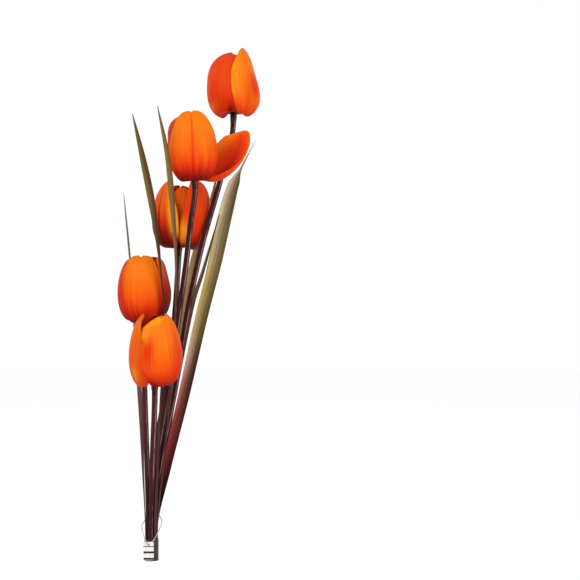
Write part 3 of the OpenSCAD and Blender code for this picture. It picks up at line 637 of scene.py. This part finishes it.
def petal_surface(look, depth):
    """Grid of points of one face of a petal that stands on +X, and its u and v."""
    columns, rows = look["grid"]
    u, v = np.meshgrid(np.linspace(-1, 1, columns), np.linspace(0, 1, rows))
    path, lap, skew = look["path"], look["lap"], look["skew"]
    fall = look["corner"] * np.abs(u) ** CORNER_POWER + abs(skew) * (1 - np.sign(skew) * u) / 2
    along = v * (1 - fall * v * v)
    place, depth_share, reach = look["notch"]
    along = along - depth_share * bell(u, place, reach) * v ** NOTCH_POWER
    centre = bernstein(path, along)
    normal = outward(path, along)
    step = (lap[0] + (lap[1] - lap[0]) * (u + 1) / 2) * LAP_STEP * np.minimum(1, v / LAP_SHARE)
    step = step - CREASE_D * np.maximum(0, 1 - np.abs(u) / CREASE_SHARE) * v
    step = step - look["crease_top"] * bell(u, 0, CREASE_TOP_REACH) * ramp(v, *CREASE_TOP_SPAN)
    step = step + look["ribs"] * np.cos(u * RIB_TURN) * bell(u, 0, RIB_REACH) * ramp(v, *RIB_SPAN)
    step = step + look["pleat"] * pleats(u, v)
    claw, tip = look["claw"], look["tip"]
    width = (claw + (1 - claw) * (1 - (1 - v) ** CLAW_POWER)) * (1 - (1 - tip) * v ** TIP_POWER)
    flat = look["flat"]
    ring = bernstein(look["mould"], along)[..., 0] * flat
    phi = np.radians(u * look["half"] * width / flat + look["drift"] * v * v)
    dent = sum((amount * BLOOM_R * bell(u, at_u, reach_u) * bell(v, at_v, reach_v)
                for at_u, at_v, reach_u, reach_v, amount in look["dents"]), np.zeros_like(u))
    inward = ring * (1 - np.cos(phi))
    side = ring * np.sin(phi)
    turn = np.radians(look["twist"]) * smooth(v)
    pull = inward * np.cos(turn) - side * np.sin(turn)
    out = normal if flat > 1 else np.array([1.0, 0.0])
    push = step - depth + dent * np.cos(phi)
    lifted = centre + normal * push[..., None] - out * pull[..., None]
    across = side * np.cos(turn) + inward * np.sin(turn) + dent * np.sin(phi)
    dr = lifted[..., 0] - path[0][0]
    dz = lifted[..., 1] - path[0][1]
    tilt = math.radians(look["opening"])
    points = np.stack([
        path[0][0] + dr * math.cos(tilt) + dz * math.sin(tilt),
        across,
        path[0][1] - dr * math.sin(tilt) + dz * math.cos(tilt),
    ], -1)
    return points.reshape(-1, 3), u.ravel(), v.ravel()


def petal_paint(look, u, v, inner):
    """Heat, gold and darkening shares of each point, and which face it is on; the gold share carries
    painted highlights and the darkening share painted shade.
    """
    edge = ramp(np.abs(u), 0.55, 1.0) * ramp(v, 0.9, 0.5)
    left = look["gold"][0] * ramp(u, -0.45, -0.95)
    right = look["gold"][1] * ramp(u, 0.45, 0.95)
    shares = {
        "heat": look["heat"] + 0.25 * edge,
        "gold": np.maximum(left, right) * ramp(v, 0.3, 0.5),
        "shade_and_deep_red": look["shade_and_deep_red"] * ramp(v, 1.0, 0.85),
    }
    for kind, at_u, at_v, reach_u, reach_v, amount in look["strokes"]:
        shares[kind] = shares[kind] + amount * bell(u, at_u, reach_u) * bell(v, at_v, reach_v)
    heat, gold, shade_and_deep_red = (np.clip(shares[kind], 0, 1) for kind in ("heat", "gold", "shade_and_deep_red"))
    return np.stack([heat, gold, shade_and_deep_red, np.full_like(u, inner)], -1)


def in_bloom(points, joint, turn):
    """Points of a petal on +X, turned about the bloom's axis and set on its base."""
    axis = unit(joint["axis"])
    c, s = math.cos(math.radians(turn)), math.sin(math.radians(turn))
    spun = points @ np.array([[c, s, 0], [-s, c, 0], [0, 0, 1]])
    lean = Vector((0, 0, 1)).rotation_difference(Vector(axis)).to_matrix()
    return spun @ np.array(lean).T + np.array(joint["pos_m"])


def make_petal(name, look, joint, turn, body, material):
    """Sheet with two faces and a rounded edge between them."""
    columns, rows = look["grid"]
    back, u, v = petal_surface(look, 0.0)
    front, _, _ = petal_surface(look, PETAL_T)
    count = rows * columns
    faces = np.concatenate([
        grid_faces(rows, columns), grid_faces(rows, columns, count, flip=True),
        edge_faces(rows, columns),
    ])
    places = np.stack([np.tile((u + 1) / 2, 2), np.tile(v, 2)], -1)
    paint = np.concatenate([petal_paint(look, u, v, 0), petal_paint(look, u, v, 1)])
    pleat = pleats(u, v) * (look["pleat"] > 0)
    points = in_bloom(np.concatenate([back, front]), joint, turn)
    return add_piece(name + "_petal", points, faces, places, paint, material, body, [name],
                     {"pleat": np.tile(pleat, 2), "lift": np.full(2 * count, look["lift"])})


def hermite(a, b, slope_a, slope_b, t):
    """Cubic from a to b, with its slopes at both."""
    return (a * (1 + t * t * (2 * t - 3)) + b * smooth(t)
            + slope_a * (t * (1 - t) ** 2) - slope_b * (t * t * (1 - t)))


def spline(points, first, last, samples):
    """Cubic curve through the points, with its end directions given."""
    p = np.asarray(points, float)
    slopes = np.zeros_like(p)
    slopes[1:-1] = (p[2:] - p[:-2]) / 2
    slopes[0] = np.asarray(first) * np.linalg.norm(p[1] - p[0])
    slopes[-1] = np.asarray(last) * np.linalg.norm(p[-1] - p[-2])
    t = (np.arange(samples) / samples)[:, None]
    spans = [hermite(a, b, slope_a, slope_b, t)
             for a, b, slope_a, slope_b in zip(p, p[1:], slopes, slopes[1:])]
    return np.concatenate(spans + [p[-1:]])


def headings(path, first, last):
    """Direction of a route at each of its points, given at its ends."""
    middle = unit(path[2:] - path[:-2])
    return np.concatenate([[first], middle, [last]])


def placed(share):
    """Point of a route from its shares."""
    return np.array([share[0] * SPRAY_H, share[1] * BLOOM_R, share[2] * SPRAY_H])


def spot(turn, r, z):
    """Point at a turn in degrees, a radius and a height."""
    return np.array([r * math.cos(math.radians(turn)), r * math.sin(math.radians(turn)), z])


def foot_to(turn, ring, shares, end, last, samples):
    """Route straight up inside the binding, then along the spline, and its headings."""
    points = [spot(turn, ring, BINDING_H)] + [placed(s) for s in shares] + end
    curve = spline(points, (0, 0, 1), last, samples)
    bottom = np.linspace(spot(turn, ring, 0), spot(turn, ring, BINDING_H), 5)[:-1]
    path = np.concatenate([bottom, curve])
    return path, headings(path, (0, 0, 1), last)


def above_binding(path):
    """Share of the height between the binding and the route's end."""
    return np.clip((path[:, 2] - BINDING_H) / (path[-1, 2] - BINDING_H), 0, 1)


def rings(path, heads, radius, sides, flutes=0.0):
    """Rings of points round a route; flutes is the depth share of shallow grooves along it."""
    side = unit(np.cross((0, 1, 0), heads))
    back = np.cross(heads, side)
    angle = full_turn(sides)
    r = radius[:, None] * (1 - flutes * (0.5 - 0.5 * np.cos(angle * STEM_FLUTES)))
    points = (path[:, None] + side[:, None] * (r * np.cos(angle))[..., None]
              + back[:, None] * (r * np.sin(angle))[..., None])
    places = stacked(angle / (2 * math.pi), path[:, None, 2] / SPRAY_H)
    return points.reshape(-1, 3), places.reshape(-1, 2)


def tube_faces(rows, sides):
    """Faces of a tube open at both ends: its outside, its bore and the two end rings."""
    n = rows * sides
    return np.concatenate([
        grid_faces(rows, sides, wrap=True), grid_faces(rows, sides, n, wrap=True, flip=True),
        band_faces(0, n, sides, flip=True), band_faces(n - sides, 2 * n - sides, sides),
    ])


def make_stem(number, joint, material):
    """Coated tube with its bore, open at both ends."""
    axis = unit(joint["axis"])
    top = np.array(joint["pos_m"]) + axis * (NECK_TOP_Z - NECK_L)
    path, heads = foot_to(STEM_TURNS[number - 1], RING_R, STEM_SHARES[number - 1], [top], axis, 10)
    thickening = smooth(np.minimum(1, above_binding(path) / STEM_TAPER_SHARE))
    radius = STEM_FOOT_R + (STEM_TOP_R - STEM_FOOT_R) * thickening
    sides = 36
    outer, places = rings(path, heads, radius, sides, STEM_FLUTE_SHARE)
    inner, _ = rings(path, heads, np.full(len(path), BORE_R), sides)
    return add_piece(f"stem_{number}_coated", np.concatenate([outer, inner]),
                     tube_faces(len(path), sides), np.tile(places, (2, 1)), None, material, "root",
                     [f"stem_{number}"])


def make_neck(number, joint, material):
    """Moulded end of the stem, turned about the bloom's axis, with its socket."""
    bottom = NECK_TOP_Z - NECK_L
    outline = [(0.0, bottom), (STEM_TOP_R, bottom)]
    outline += [(STEM_TOP_R + (NECK_R - STEM_TOP_R) * smooth(t),
                 bottom + NECK_L * NECK_FLARE_SHARE * t)
                for t in np.linspace(0.1, 1, 8)]
    outline += [(NECK_R - NECK_ROUND_R * (1 - math.cos(a)),
                 NECK_TOP_Z - NECK_ROUND_R * (1 - math.sin(a)))
                for a in np.radians(np.linspace(0, 90, 6))]
    outline += [(SOCKET_R, NECK_TOP_Z), (SOCKET_R, NECK_TOP_Z - SOCKET_L),
                (0.0, NECK_TOP_Z - SOCKET_L)]
    sides = 40
    angle = full_turn(sides)
    r, z = np.array(outline).T[..., None]
    points = in_bloom(stacked(r * np.cos(angle), r * np.sin(angle), z).reshape(-1, 3), joint, 0)
    places = np.stack([np.tile(angle / (2 * math.pi), len(outline)), points[:, 2] / SPRAY_H], -1)
    return add_piece(f"neck_{number}_moulded", points, grid_faces(len(outline), sides, wrap=True),
                     places, None, material, "root", [f"neck_{number}"])


# Tints of the left and right half of each leaf, seen on its back, from the foot up by height shares.
# The lighter left half is painted light and the darker right half painted shade of the folded leaf,
# over the leaf's own olive, tan and burgundy; the pale mauve low on leaf 4's left half is a painted
# highlight.
LOW_TINTS = [(0, "#34181b", "#34181b"), (0.12, "#4c2529", "#4c2529")]
LEAF_LIT_SHADED_TINTS = [
    [(0.25, "#5a2c30", "#5a2c30"), (0.42, "#7a5a48", "#6a4c3e"), (0.6, "#8d8468", "#7c7358"),
     (0.75, "#a0a098", "#8c8c82")],
    [(0.25, "#4a2426", "#3c1c20"), (0.5, "#36201f", "#2c1616"), (0.62, "#4e3a28", "#3c241c"),
     (0.7, "#746030", "#5c3a18"), (0.8, "#6a5a26", "#5a4016"), (0.87, "#5e4e2c", "#54421e")],
    [(0.25, "#4a2426", "#3c1c20"), (0.48, "#54382c", "#402824"), (0.62, "#745838", "#58401e"),
     (0.75, "#80602a", "#74521c"), (0.88, "#6c5426", "#5c4a24")],
    [(0.23, "#a43a38", "#70282a"), (0.28, "#ac4e46", "#68302e"), (0.34, "#c47e6a", "#60342c"),
     (0.39, "#deb49c", "#64422a"),
     (0.44, "#d2b67c", "#665828"), (0.54, "#ccb064", "#74683a"), (0.68, "#e2dcb0", "#7a7048"),
     (0.75, "#dcd6bc", "#847a58"), (0.8, "#b0aea2", "#a4a296")],
    [(0.25, "#5c3a2c", "#5c3a2c"), (0.4, "#a88a5c", "#9c7c50"), (0.55, "#c8a878", "#b89468"),
     (0.68, "#8e7648", "#7c6840"), (0.8, "#746238", "#685830")],
    [(0.25, "#4a2a26", "#4a2a26"), (0.42, "#6a5230", "#5a4428"), (0.68, "#766644", "#5c5030")],
]
LEAF_FOLDS = [0.1, 0.16, 0.16, 0.3, 0.1, 0.1]
FOLD_SPAN = (0.15, 0.4)
FOLD_REACH = 0.3
TINT_EDGE = 0.12


def leaf_width(number, s):
    """Width of a leaf at shares s of its height above the binding."""
    k = number - 1
    widest = LEAF_W * LEAF_WIDTH_SHARES[k]
    peak = LEAF_PEAK_SHARES[k]
    taper = np.clip((s - peak) / (1 - peak), 0, 1)
    rise = smooth(np.clip(s / peak, 0, 1))
    rise = rise + (smooth(np.clip(s / LEAF_RISE_SHARE, 0, 1)) - rise) * LEAF_EARLY_SHARES[k]
    low = LEAF_FOOT_W
    if number in LEAF_THIN_SPANS:
        rise = rise * ramp(s, *LEAF_WIDEN_SPANS[number])
        low = LEAF_FOOT_W * (1 - LEAF_THIN_SHARE * ramp(s, *LEAF_THIN_SPANS[number]))
    width = np.where(s < peak, low + (widest - low) * rise,
                     LEAF_TIP_W + (widest - LEAF_TIP_W) * (1 - taper ** 2))
    if number in LEAF_SHOULDERS:
        start, end, least = LEAF_SHOULDERS[number]
        width = width * (least + (1 + SWELL_SHARE - least) * ramp(s, start, end))
        width = width / (1 + SWELL_SHARE * ramp(s, *SWELL_SPAN))
    return width


def leaf_facing(number, s):
    """Angle that the leaf's back faces, from its angles at the foot, half way up and at the tip."""
    foot, middle, tip = LEAF_TURNS[number - 1], *LEAF_FACES[number - 1]
    lower = foot + (middle - foot) * smooth(np.clip(s * 2, 0, 1))
    upper = middle + (tip - middle) * smooth(np.clip(s * 2 - 1, 0, 1))
    return np.radians(np.where(s < 0.5, lower, upper))


def leaf_paint(number, heights, x):
    """Colour of each point: a tint for each half, by height, with a soft line between them; the
    halves carry painted light and painted shade.
    """
    seen_side = math.copysign(1, math.sin(math.radians(LEAF_FACES[number - 1][1])))
    half = ramp(-x * seen_side, -TINT_EDGE, TINT_EDGE)
    half = np.tile(half, len(heights) // len(x))[:, None]
    stops = LOW_TINTS + LEAF_LIT_SHADED_TINTS[number - 1]
    left, right = (
        np.stack([np.interp(heights, [stop[0] for stop in stops], channel)
                  for channel in np.transpose([srgb(stop[n]) for stop in stops])], -1)
        for n in (1, 2)
    )
    return left * (1 - half) + right * half


def make_leaf(number, material):
    """Strip bent across its width, folded along its middle and pointed at its tip."""
    k = number - 1
    last = unit(placed(LEAF_SHARES[k][-1]) - placed(LEAF_SHARES[k][-2]))
    path, heads = foot_to(LEAF_TURNS[k], LEAF_RING_R, LEAF_SHARES[k], [], last, 14)
    s = above_binding(path)
    width = leaf_width(number, s)
    face = leaf_facing(number, s)
    foot_bend = LEAF_FOOT_W / LEAF_RING_R / 2
    bending = smooth(np.minimum(1, s / LEAF_BEND_SHARE))
    bend = foot_bend + (math.radians(LEAF_BEND) - foot_bend) * bending
    radius = width / (2 * bend)
    aim = np.stack([np.cos(face), np.sin(face), np.zeros_like(face)], -1)
    side = unit(np.cross(heads, aim))
    out = np.cross(side, heads)
    columns = 17
    x = np.linspace(-1, 1, columns)
    phi = bend[:, None] * x
    fold = LEAF_FOLDS[k] * (width / 2 * ramp(s, *FOLD_SPAN))[:, None] * bell(x, 0, FOLD_REACH)
    layers = []
    for depth in (LEAF_T, 0.0):
        thin = 1 - (1 - LEAF_EDGE_SHARE) * np.abs(x) if depth else np.zeros_like(x)
        reach = radius[:, None] + depth * thin
        across = reach * np.sin(phi)
        lift = reach * np.cos(phi) - radius[:, None] - fold
        layers.append((path[:, None] + side[:, None] * across[..., None]
                       + out[:, None] * lift[..., None]).reshape(-1, 3))
    rows = len(path)
    faces = np.concatenate([
        grid_faces(rows, columns, flip=True), grid_faces(rows, columns, rows * columns),
        edge_faces(rows, columns, flip=True),
    ])
    places = np.stack([np.tile((x + 1) / 2, rows), layers[0][:, 2] / SPRAY_H], -1)
    paint = np.tile(leaf_paint(number, places[:, 1], x), (2, 1))
    return add_piece(f"leaf_{number}_blade", np.concatenate(layers), faces, np.tile(places, (2, 1)),
                     paint, material, "root", [f"leaf_{number}"])


def make_binding(material):
    """Tape wound round the foot: each turn laps over the one below it."""
    sides, rows = 72, 121
    angle = full_turn(sides)
    z = np.linspace(0, 1, rows)[:, None]
    phase = (z * BINDING_TURNS - angle / (2 * math.pi)) % 1
    layers = [
        stacked(r * np.cos(angle), r * np.sin(angle), z * BINDING_H).reshape(-1, 3)
        for r in (BINDING_OUT_R - BINDING_LIP * phase, BINDING_OUT_R - BINDING_T)
    ]
    places = stacked(angle / (2 * math.pi), z).reshape(-1, 2)
    return add_piece("binding_wound", np.concatenate(layers), tube_faces(rows, sides),
                     np.tile(places, (2, 1)), None, material, "root", ["binding"])


def card_outline(count):
    """Edge of the card about its middle, with so many points round each corner."""
    points = []
    for n, (cx, cz) in enumerate([(1, 1), (-1, 1), (-1, -1), (1, -1)]):
        for a in np.radians(np.linspace(n * 90, n * 90 + 90, count)):
            points.append((cx * (TAG_W / 2 - TAG_CORNER_R) + TAG_CORNER_R * math.cos(a),
                           cz * (TAG_H / 2 - TAG_CORNER_R) + TAG_CORNER_R * math.sin(a)))
    return np.array(points)


def make_tag(material):
    """Card with rounded corners and a round hole, slightly bowed."""
    edge = card_outline(10)
    centre = np.array([0, TAG_H / 2 - TAG_HOLE_INSET])
    toward = edge - centre
    angle = np.arctan2(toward[:, 1], toward[:, 0])
    hole = centre + TAG_HOLE_R * np.stack([np.cos(angle), np.sin(angle)], -1)
    levels = np.linspace(0, 1, 9)[:, None, None]
    flat = hole * (1 - levels) + edge * levels
    bow = TAG_BOW * (flat[..., 1] / (TAG_H / 2)) ** 2
    x, z = TAG_X + flat[..., 0], TAG_TOP_Z - TAG_H / 2 + flat[..., 1]
    layers = [np.stack([x, TAG_Y + shift + bow, z], -1).reshape(-1, 3)
              for shift in (-TAG_T / 2, TAG_T / 2)]
    rows, columns = len(levels), len(edge)
    n = rows * columns
    rim = n - columns
    faces = np.concatenate([
        grid_faces(rows, columns, wrap=True, flip=True), grid_faces(rows, columns, n, wrap=True),
        band_faces(0, n, columns), band_faces(rim, n + rim, columns, flip=True),
    ])
    places = np.stack([0.5 + flat[..., 0] / TAG_W, 0.5 + flat[..., 1] / TAG_H], -1).reshape(-1, 2)
    return add_piece("tag_printed", np.concatenate(layers), faces, np.tile(places, (2, 1)), None,
                     material, "root", ["tag"])


def make_loop(material):
    """Closed nylon ring through the tag's hole and round the bundle."""
    r = BINDING_OUT_R
    # Behind the bundle, past its right side, through the hole and back past its left side
    p = np.array([
        (0, 1.6 * r, 2.1 * BINDING_H), (1.4 * r, 0.5 * r, 1.8 * BINDING_H),
        (TAG_X + 0.85 * r, LOOP_Y + LOOP_D * 1.25, TAG_TOP_Z + LOOP_D * 4),
        (TAG_X + LOOP_D, LOOP_Y, TAG_HOLE_Z + LOOP_D / 2), (TAG_X, TAG_Y, TAG_HOLE_Z),
        (TAG_X - LOOP_D, TAG_Y - TAG_T / 2 - LOOP_D, TAG_HOLE_Z + LOOP_D / 2),
        (TAG_X - 0.45 * r, TAG_Y - LOOP_D, TAG_TOP_Z + LOOP_D * 3),
        (-1.35 * r, 0.3 * r, 1.6 * BINDING_H),
    ])
    samples, sides = 14, 12
    t = (np.arange(samples) / samples)[:, None]
    slopes = (np.roll(p, -1, 0) - np.roll(p, 1, 0)) / 2
    ends = zip(p, np.roll(p, -1, 0), slopes, np.roll(slopes, -1, 0))
    path = np.concatenate([hermite(a, b, slope_a, slope_b, t) for a, b, slope_a, slope_b in ends])
    heads = unit(np.roll(path, -1, 0) - np.roll(path, 1, 0))
    side = unit(np.cross((0, 0, 1), heads))
    back = np.cross(heads, side)
    angle = full_turn(sides)
    points = (path[:, None] + side[:, None] * (np.cos(angle) * LOOP_D / 2)[:, None]
              + back[:, None] * (np.sin(angle) * LOOP_D / 2)[:, None]).reshape(-1, 3)
    m = len(path)
    faces = np.concatenate([
        grid_faces(m, sides, wrap=True), band_faces((m - 1) * sides, 0, sides),
    ])
    places = stacked(angle / (2 * math.pi), np.linspace(0, 1, m)[:, None]).reshape(-1, 2)
    return add_piece("tag_loop_nylon", points, faces, places, None, material, "root",
                     ["tag_loop"])


def dress_node(name, material):
    """Gives a CAD node that keeps its own shape a finished material."""
    node = frame["nodes"][name]
    node.data.materials.clear()
    node.data.materials.append(material)


# Floor, camera and lamps. Each lamp: name, place, size, power.
FLOOR_HALF = 3.0
CAMERA_PLACE = (0.1288, -1.2736, 0.2511)
CAMERA_LENS = 85
CAMERA_SENSOR = 36
LAMP_TARGET = (0.03, 0, 0.26)
LAMPS = [
    ("key", (-0.7, -1.1, 1.0), 0.7, 8), ("fill", (1.1, -1.1, 0.5), 0.9, 8),
    ("back_left", (-0.9, 1.2, 0.8), 0.8, 2), ("back_right", (1.0, 1.1, 0.9), 0.8, 2),
]
FLOOR_GLOW = 1.1
FLOOR_GLOW_SHARE = 0.8
WORLD_LIGHT = 0.55
WORLD_SEEN = 1.0


def make_floor():
    """Pale floor that keeps the object's shadow and reads white to the camera."""
    mesh = bpy.data.meshes.new("floor")
    corners = [(-1, -1), (1, -1), (1, 1), (-1, 1)]
    mesh.from_pydata([(x * FLOOR_HALF, y * FLOOR_HALF, 0) for x, y in corners], [], [(0, 1, 2, 3)])
    floor = bpy.data.objects.new("floor", mesh)
    bpy.context.scene.collection.objects.link(floor)
    s = Shader("floor_white")
    grain = s.noise(s.place(), (40, 40, 40), 3.0)
    colour = s.mix(grain, srgb("#f6f6f6"), srgb("#fafafa"))
    s.set(Base_Color=colour, Roughness=0.9, Specular_IOR_Level=0.0)
    path = s.node("LightPath", {}).outputs
    mirrored = s.math("MAXIMUM", path["Is Glossy Ray"], path["Is Transmission Ray"])
    seen = s.math("MAXIMUM", path["Is Camera Ray"], mirrored)
    glow = s.node("Emission", {"Color": (1, 1, 1, 1), "Strength": FLOOR_GLOW}).outputs[0]
    share = s.math("MULTIPLY", seen, FLOOR_GLOW_SHARE)
    blend = s.node("MixShader", {0: share, 1: s.surface.outputs[0], 2: glow}).outputs[0]
    s.feed(s.tree.nodes["Material Output"].inputs["Surface"], blend)
    mesh.materials.append(s.material)


def make_world():
    """Even pale surroundings, white where the camera sees them."""
    world = bpy.data.worlds.new("studio")
    bpy.context.scene.world = world
    world.use_nodes = True
    nodes, links = world.node_tree.nodes, world.node_tree.links
    background = nodes["Background"]
    background.inputs["Color"].default_value = (1, 1, 1, 1)
    path = nodes.new("ShaderNodeLightPath").outputs
    seen = nodes.new("ShaderNodeMath")
    seen.operation = "MAXIMUM"
    links.new(path["Is Camera Ray"], seen.inputs[0])
    both = nodes.new("ShaderNodeMath")
    both.operation = "MAXIMUM"
    links.new(path["Is Glossy Ray"], both.inputs[0])
    links.new(path["Is Transmission Ray"], both.inputs[1])
    links.new(both.outputs[0], seen.inputs[1])
    level = nodes.new("ShaderNodeMapRange")
    level.inputs["To Min"].default_value = WORLD_LIGHT
    level.inputs["To Max"].default_value = WORLD_SEEN
    links.new(seen.outputs[0], level.inputs["Value"])
    links.new(level.outputs[0], background.inputs["Strength"])


def make_lamp(name, place, size, power):
    """Soft square lamp aimed at the spray."""
    data = bpy.data.lights.new(name, "AREA")
    data.size = size
    data.energy = power
    lamp = bpy.data.objects.new(name, data)
    lamp.location = place
    toward = Vector(LAMP_TARGET) - Vector(place)
    lamp.rotation_euler = toward.to_track_quat("-Z", "Y").to_euler()
    bpy.context.scene.collection.objects.link(lamp)


def make_camera():
    """The photograph's view: level, straight on, with the spray left of the middle."""
    data = bpy.data.cameras.new("camera")
    data.lens = CAMERA_LENS
    data.sensor_width = CAMERA_SENSOR
    camera = bpy.data.objects.new("camera", data)
    camera.location = CAMERA_PLACE
    camera.rotation_euler = (math.radians(90), 0, 0)
    bpy.context.scene.collection.objects.link(camera)
    bpy.context.scene.camera = camera


make_camera()
make_floor()
make_world()
for lamp in LAMPS:
    make_lamp(*lamp)

petal = petal_material()
stem = stem_material()
leaf = leaf_material()
heart = moulded_material("receptacle_plastic", "#5a0f0d", "#8c1a14", 0.55)
anther = moulded_material("stamen_plastic", "#6e5a18", "#c9a53a", 0.6)
wire = wire_material()

turning = {j["child"]: j for j in frame["joints"] if j["type"] == "hinge"}
for bloom in range(1, BLOOMS + 1):
    body = f"petals_{bloom}"
    joint = turning[body]
    for n in range(1, PETALS + 1):
        spin = SPINS[bloom - 1] + PETAL_STEP * (n - 1)
        make_petal(f"bloom{bloom}_outer_petal_{n}", outer_look(bloom, n), joint,
                   spin + PETAL_TURNS[bloom - 1][n - 1], body, petal)
        make_petal(f"bloom{bloom}_inner_petal_{n}", inner_look(bloom, n), joint,
                   spin + PETAL_STEP / 2, body, petal)
    dress_node(f"bloom{bloom}_receptacle", heart)
    dress_node(f"bloom{bloom}_core", anther)
    make_neck(bloom, joint, stem)
    make_stem(bloom, joint, stem)
for number in range(1, len(LEAF_SHARES) + 1):
    make_leaf(number, leaf)
dress_node("stem_wires", wire)
make_binding(tape_material())
make_tag(card_material())
make_loop(loop_material())

bpy.context.scene.view_settings.view_transform = "Standard"
